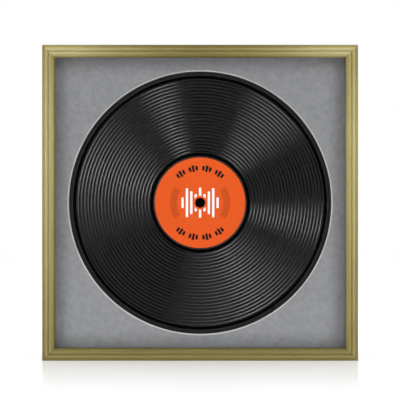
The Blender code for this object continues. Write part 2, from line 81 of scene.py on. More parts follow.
# Ridged field of the record, where a ridge starts, tops out and ends between two of them, and
# the share of polished gutter before it
FIELD_INNER, FIELD_OUTER = 0.0570, 0.1413
RIDGE_SHARES = (0.305, 0.350, 0.640)
GUTTER = 0.035

SIDES = ("bottom", "left", "top", "right")
WELD = 0.0000005
TO_FRONT = Matrix.Rotation(math.pi / 2, 4, "X")
TO_BACK = Matrix.Rotation(-math.pi / 2, 4, "X")
TO_CENTRE = Matrix.Translation((0, 0, CENTRE_Z))

# Section of the moulding: curved stretches of its face, each through three points. A point is a
# share of the width, from the outer edge, and a share of the lip's depth, from the front.
LIP_DEPTH = GLASS_FRONT_Y - FRONT_Y - 0.0003
FACE_STRETCHES = (
    ((0.0, 0.56), (0.075, 0.29), (0.220, 0.17)),
    ((0.230, 0.15), (0.305, 0.0), (0.390, 0.14)),
    ((0.400, 0.16), (0.445, 0.175), (0.485, 0.17)),
    ((0.490, 0.175), (0.530, 0.24), (0.570, 0.16)),
    ((0.580, 0.14), (0.690, 0.07), (0.800, 0.14)),
    ((0.810, 0.17), (0.915, 0.33), (1.0, 0.62)),
)
# How bright the foil is across the face, by rubbing and by painted shade and highlight, darker on
# the outer slope and the inner lip: share of the width, and 1 for bright foil
RUBBED_AND_SHADED = ((0.0, 0.18), (0.05, 0.17), (0.115, 0.21), (0.19, 0.39), (0.27, 0.80), (0.345, 0.91),
          (0.425, 1.0), (0.47, 0.88), (0.495, 0.76), (0.565, 0.76), (0.60, 0.80), (0.655, 0.96),
          (0.73, 0.92), (0.80, 0.38), (0.885, 0.27), (0.95, 0.19), (1.0, 0.35))


def colour_setting(name, description, *shade):
    """Return a setting for a colour."""
    return bpy.props.FloatVectorProperty(
        name=name, description=description, subtype="COLOR", size=4, default=(*shade, 1),
        min=0, max=1)


def number_setting(name, description, default, low, high, **more):
    """Return a setting for a number."""
    return bpy.props.FloatProperty(
        name=name, description=description, default=default, min=low, max=high, **more)


def length_setting(name, description, default, low, high, precision=5):
    """Return a setting for a length."""
    return number_setting(
        name, description, default, low, high, unit="LENGTH", precision=precision)


def count_setting(name, description, default, low, high, step=1):
    """Return a setting for a whole number."""
    return bpy.props.IntProperty(
        name=name, description=description, default=default, min=low, max=high, step=step)


class VINYLFRAME_PG_moulding(bpy.types.PropertyGroup):
    """Sizes and colours of the gold moulding."""

    foil: colour_setting("Foil", "Colour of the gold foil", 0.375, 0.314, 0.106)
    # The patina tone also serves as painted shade on the moulding's outer slope and inner lip
    patina: colour_setting("Patina", "Darker tone that lies in the hollows", 0.145, 0.112, 0.022)
    bole: colour_setting("Bole", "Ground that shows where the foil is rubbed", 0.27, 0.12, 0.05)
    wood: colour_setting("Bare Wood", "Colour of the uncoated back and rabbet", 0.56, 0.39, 0.22)
    mitre_gap: length_setting(
        "Mitre Gap", "Width of the seam at each mitre", 0.00003, 0.0, 0.001)
    face_steps: count_setting(
        "Face Steps", "Facets along each curved stretch of the face", 10, 3, 32)


class VINYLFRAME_PG_record(bpy.types.PropertyGroup):
    """Sizes and colours of the record and its labels."""

    vinyl: colour_setting("Vinyl", "Colour of the record", 0.0006, 0.0006, 0.0006)
    haze: colour_setting(
        "Haze", "Tone of the finely grooved parts of the record", 0.0072, 0.0072, 0.0075)
    ridges: count_setting("Ridges", "Turned ridges between the label and the rim", 22, 1, 80)
    ridge_height: length_setting(
        "Ridge Height", "Height of a ridge above the field's floor", 0.000230, 0.0, 0.0004, 6)
    segments: count_setting("Segments", "Facets round the record", 256, 32, 512)
    paper: colour_setting("Label Paper", "Colour of the label", 0.785, 0.102, 0.0150)
    label_shade: colour_setting("Label Shade", "Darker bands of the label", 0.60, 0.079, 0.0135)
    label_light: colour_setting("Label White", "Bars of the label's pattern", 0.93, 0.93, 0.91)
    label_dark: colour_setting(
        "Label Black", "Blocks of the label's pattern", 0.008, 0.008, 0.008)


class VINYLFRAME_PG_boards(bpy.types.PropertyGroup):
    """Sizes and colours of the glass, the mount board and the boards behind it."""

    grey: colour_setting("Mount Grey", "Colour of the mount board's face", 0.262, 0.262, 0.274)
    core: colour_setting(
        "Board Core", "Colour of the cut core and of the spacer", 0.50, 0.50, 0.49)
    black: colour_setting(
        "Back Mount", "Colour of the board behind the record", 0.004, 0.004, 0.004)
    hardboard: colour_setting("Hardboard", "Colour of the backing board", 0.33, 0.21, 0.12)
    overlap: length_setting(
        "Overlap", "How far the window's sharp edge covers the record's rim",
        0.00105, 0.0005, 0.004)
    window_segments: count_setting(
        "Window Segments", "Facets round the window, a multiple of eight", 256, 64, 512, 8)


class VINYLFRAME_PG_hardware(bpy.types.PropertyGroup):
    """Sizes and colours of the fittings on the back."""

    brass: colour_setting("Brass", "Colour of the turn buttons", 0.72, 0.53, 0.22)
    zinc: colour_setting("Zinc", "Colour of the screws and wedges", 0.60, 0.60, 0.58)
    nickel: colour_setting("Nickel", "Colour of the ring hangers", 0.68, 0.67, 0.64)
    rubber: colour_setting("Bumper", "Colour of the wall bumpers", 0.55, 0.55, 0.53)
    button_reach: length_setting(
        "Button Reach", "From a turn button's screw to the centre of its tip",
        0.015, 0.008, 0.02, 4)
    wire_radius: length_setting(
        "Wire Radius", "Radius of a hanger ring's wire", 0.0009, 0.0005, 0.001)


class VINYLFRAME_PG_stage(bpy.types.PropertyGroup):
    """Camera and light."""

    lens: number_setting(
        "Lens", "Focal length on a 36 mm wide sensor, in millimetres", 250.0, 50.0, 600.0)
    field: length_setting(
        "Field", "Width that the camera takes in at the front of the frame",
        0.4552, 0.1, 2.0, 4)
    aim_height: length_setting(
        "Aim Height", "Height of the camera and of its aim", 0.1831, 0.0, 1.0, 4)
    light: number_setting("Light", "Brightness of the surroundings", 1.0, 0.0, 5.0)


class Signal:
    """An output of a node. Arithmetic with it adds Math nodes to its tree."""

    def __init__(self, tree, socket):
        self.tree, self.socket = tree, socket

    def calc(self, operation, *others, **settings):
        """Add a Math node for this signal and other values, and return its result."""
        values = dict(enumerate((self, *others)))
        return signal(self.tree, "ShaderNodeMath", values, operation=operation, **settings)

    def __rsub__(self, other):
        values = {0: other, 1: self}
        return signal(self.tree, "ShaderNodeMath", values, operation="SUBTRACT")

    __add__ = partialmethod(calc, "ADD")
    __sub__ = partialmethod(calc, "SUBTRACT")
    __mul__ = partialmethod(calc, "MULTIPLY")
    __truediv__ = partialmethod(calc, "DIVIDE")
    __gt__ = partialmethod(calc, "GREATER_THAN")
    __lt__ = partialmethod(calc, "LESS_THAN")
    __abs__ = partialmethod(calc, "ABSOLUTE")


def node(tree, kind, values=None, **settings):
    """Add a node to a tree, give it its settings, and set or link its inputs.

    An input is named or numbered. A signal given as its value is linked, anything else is set.
    """
    made = tree.nodes.new(kind)
    for name, value in settings.items():
        setattr(made, name, value)
    for key, value in (values or {}).items():
        if isinstance(key, int):
            socket = made.inputs[key]
        else:
            socket = next(item for item in made.inputs if item.name == key and item.enabled)
        if isinstance(value, Signal):
            tree.links.new(value.socket, socket)
        else:
            socket.default_value = value
    return made


def signal(tree, kind, values=None, output=None, **settings):
    """Add a node and return its first shown output, or the named one."""
    outputs = node(tree, kind, values, **settings).outputs
    socket = outputs[output] if output else next(item for item in outputs if item.enabled)
    return Signal(tree, socket)


def tree_of(*values):
    """Return the tree of the first signal among some values."""
    return next(value.tree for value in values if isinstance(value, Signal))


def split(vector):
    """Return the X, Y and Z of a vector."""
    made = node(vector.tree, "ShaderNodeSeparateXYZ", {0: vector})
    return [Signal(vector.tree, socket) for socket in made.outputs]


def combined(*parts):
    """Return the vector of an X, a Y and a Z."""
    return signal(tree_of(*parts), "ShaderNodeCombineXYZ", dict(enumerate(parts)))


def spread(value, low, high, new_low=0.0, new_high=1.0, smooth=False):
    """Map a value from one range to another, held at its ends."""
    values = dict(enumerate((value, low, high, new_low, new_high)))
    kind = "SMOOTHSTEP" if smooth else "LINEAR"
    return signal(value.tree, "ShaderNodeMapRange", values, interpolation_type=kind)


def within(value, low, high, soft):
    """Return 1 where a value lies between two bounds, with soft ends."""
    return (spread(value, low - soft, low + soft)
            * spread(value, high - soft, high + soft, 1.0, 0.0))


def tint(factor, first, second, blend="MIX"):
    """Mix two colours by a factor."""
    return signal(tree_of(factor, first, second), "ShaderNodeMix", {
        "Factor": factor, "A": first, "B": second}, data_type="RGBA", blend_type=blend)


def shaded(colour, *values):
    """Multiply a colour by one value after another."""
    for value in values:
        grey = signal(tree_of(colour, value), "ShaderNodeCombineColor", {
            0: value, 1: value, 2: value})
        colour = tint(1.0, colour, grey, "MULTIPLY")
    return colour


def noise(vector, scale, detail=3.0, roughness=0.55):
    """Return a noise value about a half."""
    return signal(vector.tree, "ShaderNodeTexNoise", {
        "Vector": vector, "Scale": scale, "Detail": detail, "Roughness": roughness})


def bump(height, distance, strength=0.5):
    """Return the normal of a height pattern."""
    return signal(height.tree, "ShaderNodeBump", {
        "Strength": strength, "Distance": distance, "Height": height})


def seen_by(tree, *kinds):
    """Return 1 for rays of the given kinds."""
    path = node(tree, "ShaderNodeLightPath")
    rays = [Signal(tree, path.outputs["Is %s Ray" % kind]) for kind in kinds]
    seen = rays[0]
    for ray in rays[1:]:
        seen = seen.calc("MAXIMUM", ray)
    return seen


def lay_out(tree):
    """Set the nodes of a tree out in columns, from its last nodes back to its first."""
    columns = {made: 0 for made in tree.nodes}
    for _ in range(len(tree.nodes)):
        moved = False
        for link in tree.links:
            if columns[link.from_node] < columns[link.to_node] + 1:
                columns[link.from_node] = columns[link.to_node] + 1
                moved = True
        if not moved:
            break
    rows = {}
    for made, column in columns.items():
        rows[column] = rows.get(column, 0) + 1
        made.location = (-200 * column, -220 * rows[column])


def node_group(name, kind, inputs, outputs):
    """Return a new node group and its inputs by name.

    A socket is its name, its kind and, for an input that has one, its default.
    """
    tree = bpy.data.node_groups.new(name, kind)
    for way, sockets in (("INPUT", inputs), ("OUTPUT", outputs)):
        for label, socket_kind, *default in sockets:
            socket = tree.interface.new_socket(
                name=label, in_out=way, socket_type="NodeSocket" + socket_kind)
            if default:
                socket.default_value = default[0]
    given = node(tree, "NodeGroupInput").outputs
    return tree, {socket.name: Signal(tree, socket) for socket in given}


def close_group(tree, *results):
    """Give a node group its results and return it."""
    node(tree, "NodeGroupOutput", dict(enumerate(results)))
    lay_out(tree)
    return tree


def mottle(name):
    """Cloudy variation at two scales, as a factor about one."""
    tree, given = node_group(name, "ShaderNodeTree", (
        ("Vector", "Vector"), ("Coarse Scale", "Float", 60.0), ("Fine Scale", "Float", 700.0),
        ("Amount", "Float", 0.05)), (("Factor", "Float"),))
    coarse = noise(given["Vector"], given["Coarse Scale"], 2.0)
    fine = noise(given["Vector"], given["Fine Scale"], 4.0, 0.65)
    return close_group(tree, (coarse + fine - 1.0) * given["Amount"] * 2.5 + 1.0)


def long_grain(name):
    """Streaks that run along the vector's X, as a factor about one and as a height."""
    tree, given = node_group(name, "ShaderNodeTree", (
        ("Vector", "Vector"), ("Along Scale", "Float", 12.0), ("Across Scale", "Float", 1200.0),
        ("Amount", "Float", 0.05)), (("Factor", "Float"), ("Height", "Float")))
    x, y, z = split(given["Vector"])
    across = given["Across Scale"]
    streak = noise(combined(x * given["Along Scale"], y * across, z * across), 1.0, 4.0, 0.6)
    return close_group(tree, (streak - 0.5) * given["Amount"] * 4.0 + 1.0, streak)


def specks(name):
    """Scattered small specks as a mask."""
    tree, given = node_group(name, "ShaderNodeTree", (
        ("Vector", "Vector"), ("Scale", "Float", 400.0), ("Share", "Float", 0.05)),
        (("Mask", "Float"),))
    cells = node(tree, "ShaderNodeTexVoronoi", {
        "Vector": given["Vector"], "Scale": given["Scale"]}).outputs
    chance = signal(tree, "ShaderNodeSeparateColor", {0: Signal(tree, cells["Color"])})
    dot = spread(Signal(tree, cells["Distance"]), 0.12, 0.3, 1.0, 0.0, smooth=True)
    return close_group(tree, (chance < given["Share"]) * dot)


def group_of(maker):
    """Return the node group of a maker's name, made the first time it is asked for."""
    name = maker.__name__.replace("_", " ").title()
    return bpy.data.node_groups.get(name) or maker(name)


def effect(maker, vector, *values):
    """Place a shader node group in a material and return its output, or its outputs.

    The values are the group's inputs after its vector, in order: scales, then amount or share.
    """
    values = dict(enumerate((vector, *values)))
    made = node(vector.tree, "ShaderNodeGroup", values, node_tree=group_of(maker))
    signals = [Signal(vector.tree, socket) for socket in made.outputs]
    return signals[0] if len(signals) == 1 else signals


def blank_tree(block):
    """Return the emptied node tree of a material or a world."""
    block.use_nodes = True
    block.node_tree.nodes.clear()
    return block.node_tree


class Finish:
    """A material in the making: its tree, its shader and the object's coordinates.

    The constants are plain values of the shader's sockets, with _ for a space.
    """

    def __init__(self, name, **constants):
        self.material = bpy.data.materials.new(name)
        self.tree = blank_tree(self.material)
        self.shader = node(self.tree, "ShaderNodeBsdfPrincipled", {
            key.replace("_", " "): value for key, value in constants.items()})
        self.surface = Signal(self.tree, self.shader.outputs[0])
        self.place = signal(self.tree, "ShaderNodeTexCoord", output="Object")

    def attribute(self, name, output):
        """Return an attribute of the mesh."""
        return signal(self.tree, "ShaderNodeAttribute", output=output, attribute_name=name)

    def done(self, **links):
        """Link the shader's sockets and the surface, and return the material."""
        for key, value in links.items():
            self.tree.links.new(value.socket, self.shader.inputs[key.replace("_", " ")])
        node(self.tree, "ShaderNodeOutputMaterial", {"Surface": self.surface})
        lay_out(self.tree)
        return self.material


def shared(maker, *values):
    """Return the material of a maker's name, made the first time it is asked for."""
    return bpy.data.materials.get(maker.__name__) or maker(*values)


def gold_foil(settings):
    """Satin gold foil: streaks along the length, patina in the hollows, painted shade on the outer
    slope and inner lip, worn crests, and a painted sheen on the sides and the top rail's ends.
    """
    finish = Finish("gold_foil", Metallic=0.70)
    grain = finish.attribute("grain", "Vector")
    relief = finish.attribute("relief", "Fac")
    streaks, height = effect(long_grain, grain, 9.0, 900.0, 0.05)
    cloud = effect(mottle, grain, 26.0, 420.0, 0.05)
    # Patina where the tone is low, which also paints shade on the outer slope and the inner lip
    wear_and_painted_light = tint(relief, settings.patina, settings.foil)
    patches = spread(noise(grain, 90.0, 5.0, 0.7), 0.56, 0.66)
    wear_and_painted_light = tint(spread(relief, 0.93, 1.0, 0.0, 0.35) * patches, wear_and_painted_light, settings.bole)
    # Painted highlight: the sides, towards the top, and the ends of the top rail are painted
    # lighter, where the sheen of the lamps falls
    x, _, z = split(finish.place)
    along, _, across = split(grain)
    aside = x / FRAME_HALF
    rise = spread(z, 0.0, 0.25, 0.05, 0.56) - spread(z, 0.27, 0.345, 0.0, 0.25)
    off_top = abs(2 * FRAME_HALF - (z + across))
    rise = rise + spread(off_top, 0.0003, 0.0012, 0.79, 0.0)
    painted_sheen = (aside * aside * rise).calc("MINIMUM", 0.75)
    wear_and_painted_light = shaded(wear_and_painted_light, painted_sheen * 0.98 + 0.74)
    # Painted highlight: where the painted sheen is strongest, the foil is mixed towards a paler
    # gold
    highlight_gold = (0.62, 0.58, 0.44, 1)
    wear_and_painted_light = tint(painted_sheen * relief * 0.5, wear_and_painted_light, highlight_gold)
    # Dark seam at each mitre
    seam = spread(FRAME_HALF - across - abs(along), 0.00012, 0.0004, 0.75, 0.0, smooth=True)
    seam_brown = (0.06, 0.045, 0.02, 1)
    return finish.done(
        Base_Color=shaded(tint(seam, wear_and_painted_light, seam_brown), streaks, cloud),
        Roughness=spread(height, 0.25, 0.75, 0.42, 0.54), Normal=bump(height, 0.00003))


def bare_wood(settings):
    """Uncoated softwood with grain along each rail."""
    finish = Finish("bare_wood", Metallic=0.0)
    grain = finish.attribute("grain", "Vector")
    broad, height = effect(long_grain, grain, 5.0, 380.0, 0.14)
    fine, fine_height = effect(long_grain, grain, 40.0, 2600.0, 0.07)
    cloud = effect(mottle, grain, 12.0, 300.0, 0.06)
    return finish.done(
        Base_Color=shaded(settings.wood, broad, fine, cloud),
        Roughness=spread(height, 0.2, 0.8, 0.62, 0.82), Normal=bump(fine_height, 0.00008))


def picture_glass():
    """Clear picture glass that lamps shine through."""
    finish = Finish("picture_glass", Metallic=0.0, Transmission_Weight=1.0, IOR=1.2,
                    Base_Color=(0.985, 0.995, 0.99, 1))
    smear = spread(noise(finish.place, 18.0, 4.0, 0.6), 0.35, 0.75, 0.0, 0.025)
    clear = signal(finish.tree, "ShaderNodeBsdfTransparent")
    finish.surface = signal(finish.tree, "ShaderNodeMixShader", {
        0: seen_by(finish.tree, "Camera", "Transmission"), 1: clear, 2: finish.surface})
    return finish.done(Roughness=smear)


def mount_paper(settings):
    """Grey mount board face: fine linen threads, a soft mottle, and painted shade towards the top
    and along the moulding.
    """
    finish = Finish("mount_paper", Metallic=0.0)
    turned_place = signal(finish.tree, "ShaderNodeMapping", {
        "Vector": finish.place, "Rotation": (0, math.pi / 2, 0)})
    threads = (190.0, 1500.0, 0.030)
    warp, warp_height = effect(long_grain, finish.place, *threads)
    weft, weft_height = effect(long_grain, turned_place, *threads)
    cloud = effect(mottle, finish.place, 170.0, 900.0, 0.18)
    x, _, z = split(finish.place)
    # Painted shade: the grey is painted lighter at the bottom and darker towards the top
    painted_vertical_shade = spread(z, 0.0, 2 * FRAME_HALF, 1.06, 0.885)
    # Painted shadow: slightly greyer towards the moulding, where the shadow of its lip falls; the
    # dust factors hold this painted shadow
    sight = FRAME_HALF - RAIL_WIDTH
    dust = [spread(abs(way), sight - 0.021, sight - 0.003, 1.0, 0.80, smooth=True)
            for way in (x, z - CENTRE_Z)]
    return finish.done(
        Base_Color=shaded(settings.grey, warp, weft, cloud, painted_vertical_shade, dust[0] * dust[1]),
        Roughness=spread(warp_height, 0.2, 0.8, 0.80, 0.95),
        Normal=bump(warp_height + weft_height, 0.00006))


def fibrous(name, colour, grain, cloud, rough, depth, **constants):
    """Return a material of long fibres and a soft mottle."""
    finish = Finish(name, Metallic=0.0, **constants)
    fibre, height = effect(long_grain, finish.place, *grain)
    return finish.done(
        Base_Color=shaded(colour, fibre, effect(mottle, finish.place, *cloud)),
        Roughness=spread(height, 0.2, 0.8, *rough), Normal=bump(height, depth))


def board_core(settings):
    """White board core with faint layers and fibres, as a knife leaves it."""
    return fibrous("board_core", settings.core, (120.0, 2400.0, 0.03), (120.0, 1500.0, 0.02),
                   (0.85, 0.95), 0.00003)


def back_paper(settings):
    """Black board, slightly fibrous."""
    return fibrous("back_paper", settings.black, (260.0, 1800.0, 0.12), (60.0, 1100.0, 0.15),
                   (0.80, 0.95), 0.00004, Specular_IOR_Level=0.1)


def hardboard(settings):
    """Brown pressed fibreboard with dark flecks and a finely meshed back."""
    finish = Finish("hardboard", Metallic=0.0)
    cloud = effect(mottle, finish.place, 14.0, 260.0, 0.10)
    fibre, height = effect(long_grain, finish.place, 210.0, 900.0, 0.09)
    flecks = effect(specks, finish.place, 330.0, 0.16)
    colour = shaded(settings.hardboard, cloud, fibre)
    mesh_pitch = 0.0016
    x, _, z = split(finish.place)
    wires = [(way * (2 * math.pi / mesh_pitch)).calc("SINE") * 0.25 + 0.25 for way in (x, z)]
    return finish.done(
        Base_Color=tint(flecks * 0.7, colour, shaded(colour, 0.45)),
        Roughness=spread(height, 0.2, 0.8, 0.62, 0.80),
        Normal=bump(wires[0] * wires[1] + height * 0.6, 0.00012, 0.6))


def from_centre(place):
    """Return the distance from the record's axis, and the X and Z from it."""
    x, _, z = split(place)
    rise = z - CENTRE_Z
    return (x * x + rise * rise).calc("SQRT"), x, rise


def pressed_vinyl(settings):
    """Black vinyl: polished ridges and rings, and a hazy bloom where it is finely grooved."""
    finish = Finish("pressed_vinyl", Metallic=0.0, IOR=1.55)
    radius, _, _ = from_centre(finish.place)
    pitch = (FIELD_OUTER - FIELD_INNER) / settings.ridges
    pace = ((radius - FIELD_INNER) / pitch).calc("FRACT")
    ridge_start, _, ridge_end = RIDGE_SHARES
    ridge = within(pace, ridge_start - GUTTER, ridge_end, 0.01)
    land = within(radius, FIELD_INNER, FIELD_OUTER + 0.0004, 0.0002) * (1.0 - ridge)
    bead = within(radius, LABEL_RADIUS, LABEL_RADIUS + 0.0019, 0.0003)
    rim = spread(radius, RECORD_RADIUS - 0.0058, RECORD_RADIUS - 0.0054)
    hazy = land.calc("MAXIMUM", rim).calc("MAXIMUM", bead)
    grooves = noise(combined(radius * 2600.0), 1.0, 3.0, 0.6)
    cloud = effect(mottle, finish.place, 30.0, 500.0, 0.05)
    bloom = shaded(settings.haze, spread(grooves, 0.2, 0.8, 0.85, 1.15), cloud,
                   land * 0.25 + 1.0)
    dust = effect(specks, finish.place, 260.0, 0.012)
    dust_grey = (0.30, 0.30, 0.30, 1)
    polish = spread(noise(finish.place, 22.0, 4.0, 0.6), 0.3, 0.7, 0.085, 0.12)
    satin = spread(grooves, 0.2, 0.8, 0.28, 0.33)
    return finish.done(
        Base_Color=tint(dust * 0.02, tint(hazy, settings.vinyl, bloom), dust_grey),
        Roughness=satin * hazy + polish * (1.0 - hazy))


def label_paper(settings):
    """Printed record label: white bars of different heights, dark blocks and shaded bands."""
    finish = Finish("label_paper", Metallic=0.0, Specular_IOR_Level=0.08)
    radius, across, rise = from_centre(finish.place)
    angle = rise.calc("ARCTAN2", across)
    soft = 0.00012
    # Shaded bands on both sides
    upright = abs(angle.calc("SINE"))
    band = within(radius, 0.0265, 0.0345, soft) * spread(upright, 0.52, 0.54, 1.0, 0.0)
    colour = tint(band, settings.paper, settings.label_shade)
    # Dark blocks above and below, in groups of three with the middle one longer
    groups, block_radius, block_half = 16, 0.0395, 0.0026
    share = (angle * (groups / (2 * math.pi)) + groups).calc("FRACT")
    step = (share - 0.125) * 4.0
    block = within(step.calc("FRACT"), 0.14, 0.86, 0.03) * within(step, 0.0, 3.0, 0.01)
    longer = within(step, 1.0, 2.0, 0.01) * 0.0012
    tall = spread(abs(radius - block_radius) - longer, block_half - soft, block_half + soft,
                  1.0, 0.0)
    blocks = block * spread(upright, 0.700, 0.708) * tall
    colour = tint(blocks, colour, settings.label_dark)
    # White bars with round ends across the middle
    pitch, bar_half, last_bar, hole_edge = 0.0050, 0.00135, 4.5, 0.0078
    column = (across / pitch).calc("ROUND")
    offset = abs(across - column * pitch)
    far = abs(column)
    reach = abs((far * 1.15).calc("COSINE")) * 0.0125 + 0.0035
    past = (abs(rise) - reach).calc("MAXIMUM", 0.0)
    round_end = (past * past + offset * offset).calc("SQRT")
    bar = spread(round_end, bar_half - soft, bar_half + soft, 1.0, 0.0)
    bar = bar * (far < last_bar) * spread(radius, hole_edge, hole_edge + 0.0002)
    colour = tint(bar, colour, settings.label_light)
    fibre, height = effect(long_grain, finish.place, 500.0, 2500.0, 0.012)
    cloud = effect(mottle, finish.place, 45.0, 1600.0, 0.012)
    return finish.done(
        Base_Color=shaded(colour, fibre, cloud),
        Roughness=spread(height, 0.2, 0.8, 0.52, 0.64), Normal=bump(height, 0.00002, 0.4))


def worked_metal(name, colour, rough, marks):
    """Return metal with fine working marks, faint stains and duller spots."""
    finish = Finish(name, Metallic=1.0)
    scratches, height = effect(long_grain, finish.place, *marks, 0.05)
    stains = effect(mottle, finish.place, 120.0, 1400.0, 0.06)
    spots = effect(specks, finish.place, 900.0, 0.10)
    toned = shaded(colour, scratches, stains)
    return finish.done(
        Base_Color=tint(spots * 0.35, toned, shaded(toned, 0.6)),
        Roughness=spread(height, 0.25, 0.75, *rough), Normal=bump(height, 0.00002))


def zinc_plate(settings):
    """Zinc-plated steel of the screws and wedges."""
    return worked_metal("zinc_plate", settings.zinc, (0.28, 0.46), (300.0, 3000.0))


def stamped_brass(settings):
    """Brass of the turn buttons."""
    return worked_metal("stamped_brass", settings.brass, (0.24, 0.38), (220.0, 2600.0))


def nickel_plate(settings):
    """Nickel-plated steel of the hangers."""
    return worked_metal("nickel_plate", settings.nickel, (0.16, 0.30), (260.0, 2800.0))


def soft_rubber(settings):
    """Cloudy clear rubber."""
    finish = Finish("soft_rubber", Metallic=0.0, Subsurface_Weight=0.3, Subsurface_Scale=0.002)
    cloud = effect(mottle, finish.place, 300.0, 1800.0, 0.05)
    grit = noise(finish.place, 2200.0, 3.0, 0.6)
    return finish.done(
        Base_Color=shaded(settings.rubber, cloud),
        Roughness=spread(grit, 0.3, 0.7, 0.36, 0.50), Normal=bump(grit, 0.00002, 0.4))


def geometry_group(name, *inputs):
    """Return a Geometry Nodes tree and its inputs by name."""
    geometry = ("Geometry", "Geometry")
    return node_group(name, "GeometryNodeTree", (geometry, *inputs), (geometry,))


def position(tree):
    """Return the place of each point."""
    return signal(tree, "GeometryNodeInputPosition")


def named(tree, name):
    """Return a number attribute of each point."""
    return signal(tree, "GeometryNodeInputNamedAttribute", {"Name": name}, data_type="FLOAT")


def close_mesh(geometry, material, selection=True):
    """End a tree in Realize Instances and Set Material."""
    tree = geometry.tree
    real = signal(tree, "GeometryNodeRealizeInstances", {"Geometry": geometry})
    return close_group(tree, signal(tree, "GeometryNodeSetMaterial", {
        "Geometry": real, "Selection": selection, "Material": material}))


def mitred_rail(name):
    """A length of moulding made from its filled section, with both ends mitred."""
    tree, given = geometry_group(
        name, ("Length", "Float", 0.36), ("Mitre Gap", "Float", 0.0001), ("Foil", "Material"),
        ("Wood", "Material"))
    section, length = given["Geometry"], given["Length"]
    stretched = signal(tree, "GeometryNodeExtrudeMesh", {
        "Mesh": section, "Offset": (0, 0, 1), "Offset Scale": length, "Individual": False},
        mode="FACES")
    both = node(tree, "GeometryNodeJoinGeometry")
    for part in (signal(tree, "GeometryNodeFlipFaces", {"Mesh": section}), stretched):
        tree.links.new(part.socket, both.inputs[0])
    closed = signal(tree, "GeometryNodeMergeByDistance", {
        "Geometry": Signal(tree, both.outputs[0]), "Distance": 0.000001})
    x, y, z = split(position(tree))
    half = length * 0.5
    along = (z - half).calc("SIGN") * (half - x - given["Mitre Gap"])
    moved = signal(tree, "GeometryNodeSetPosition", {
        "Geometry": closed, "Position": combined(x, y, along)})
    x, _, z = split(position(tree))
    marked = signal(tree, "GeometryNodeStoreNamedAttribute", {
        "Geometry": moved, "Name": "grain", "Value": combined(z, named(tree, "girth"), x)},
        data_type="FLOAT_VECTOR", domain="POINT")
    wooden = signal(tree, "GeometryNodeSetMaterial", {
        "Geometry": marked, "Material": given["Wood"]})
    coated = named(tree, "foiled") > 0.99
    return close_mesh(wooden, given["Foil"], coated)


def turned_piece(name):
    """A profile of points in order, turned about Z, with ridges between two radii.

    A ridge rises steeply from its start to its top and falls gently to its end. These are shares
    of the distance from one ridge to the next.
    """
    tree, given = geometry_group(
        name, ("Segments", "Int", 64), ("Closed Profile", "Int", 0), ("Ridges", "Int", 0),
        ("Ridge Height", "Float", 0.0), ("Ridge Start", "Float", 0.31),
        ("Ridge Top", "Float", 0.355), ("Ridge End", "Float", 0.69),
        ("First Radius", "Float", 0.0), ("Last Radius", "Float", 1.0), ("Material", "Material"))
    count = signal(tree, "GeometryNodeAttributeDomainSize", {0: given["Geometry"]})
    rows = count + given["Closed Profile"]
    grid = signal(tree, "GeometryNodeMeshGrid", {
        "Size X": 1.0, "Size Y": 1.0, "Vertices X": given["Segments"] + 1.0,
        "Vertices Y": rows})
    x, y, _ = split(position(tree))
    angle = (x + 0.5) * (2 * math.pi)
    step = (y + 0.5) * (rows - 1.0)
    radius, _, height = split(signal(tree, "GeometryNodeSampleIndex", {
        "Geometry": given["Geometry"], "Index": step.calc("ROUND").calc("MODULO", count),
        "Value": position(tree)}, data_type="FLOAT_VECTOR", domain="POINT"))
    first, start, top, end = (
        given[key] for key in ("First Radius", "Ridge Start", "Ridge Top", "Ridge End"))
    share = (radius - first) / (given["Last Radius"] - first)
    pace = (share * given["Ridges"]).calc("FRACT")
    up = (pace - start) / (top - start)
    down = (end - pace) / (end - top)
    rise = up.calc("MINIMUM", down, use_clamp=True) * given["Ridge Height"]
    front = (share > 0.0) * (share < 1.0) * (height > 0.0)
    moved = signal(tree, "GeometryNodeSetPosition", {
        "Geometry": grid, "Position": combined(
            radius * angle.calc("COSINE"), radius * angle.calc("SINE"), height + front * rise)})
    closed = signal(tree, "GeometryNodeMergeByDistance", {
        "Geometry": moved, "Distance": WELD})
    return close_mesh(closed, given["Material"])


def repeated_piece(name):
    """One piece at each point, turned about Y by the point's turn and a seeded share of a range."""
    tree, given = geometry_group(
        name, ("Piece", "Object"), ("Random Turn", "Float", 0.0), ("Seed", "Int", 7),
        ("Material", "Material"))
    piece = signal(tree, "GeometryNodeObjectInfo", {"Object": given["Piece"]}, "Geometry")
    chance = signal(tree, "FunctionNodeRandomValue", {"Seed": given["Seed"]}, data_type="FLOAT")
    turn = named(tree, "turn") + chance * given["Random Turn"]
    placed = signal(tree, "GeometryNodeInstanceOnPoints", {
        "Points": signal(tree, "GeometryNodeMeshToPoints", {"Mesh": given["Geometry"]}),
        "Instance": piece, "Rotation": combined(0.0, turn)})
    return close_mesh(placed, given["Material"])


def bent_wire(name):
    """A round wire along a closed path of edges."""
    tree, given = geometry_group(
        name, ("Wire Radius", "Float", 0.0009), ("Segments", "Int", 16),
        ("Material", "Material"))
    wire = signal(tree, "GeometryNodeCurveToMesh", {
        "Curve": signal(tree, "GeometryNodeMeshToCurve", {"Mesh": given["Geometry"]}),
        "Profile Curve": signal(tree, "GeometryNodeCurvePrimitiveCircle", {
            "Resolution": given["Segments"], "Radius": given["Wire Radius"]})})
    return close_mesh(wire, given["Material"])


def linked_object(name, data):
    """Return a new object linked to the scene."""
    made = bpy.data.objects.new(name, data)
    bpy.context.scene.collection.objects.link(made)
    return made


def plain_mesh(obj):
    """Return an object's evaluated mesh and remove the object."""
    bpy.context.view_layer.update()
    evaluated = obj.evaluated_get(bpy.context.evaluated_depsgraph_get())
    mesh = bpy.data.meshes.new_from_object(evaluated)
    bpy.data.objects.remove(obj)
    return mesh


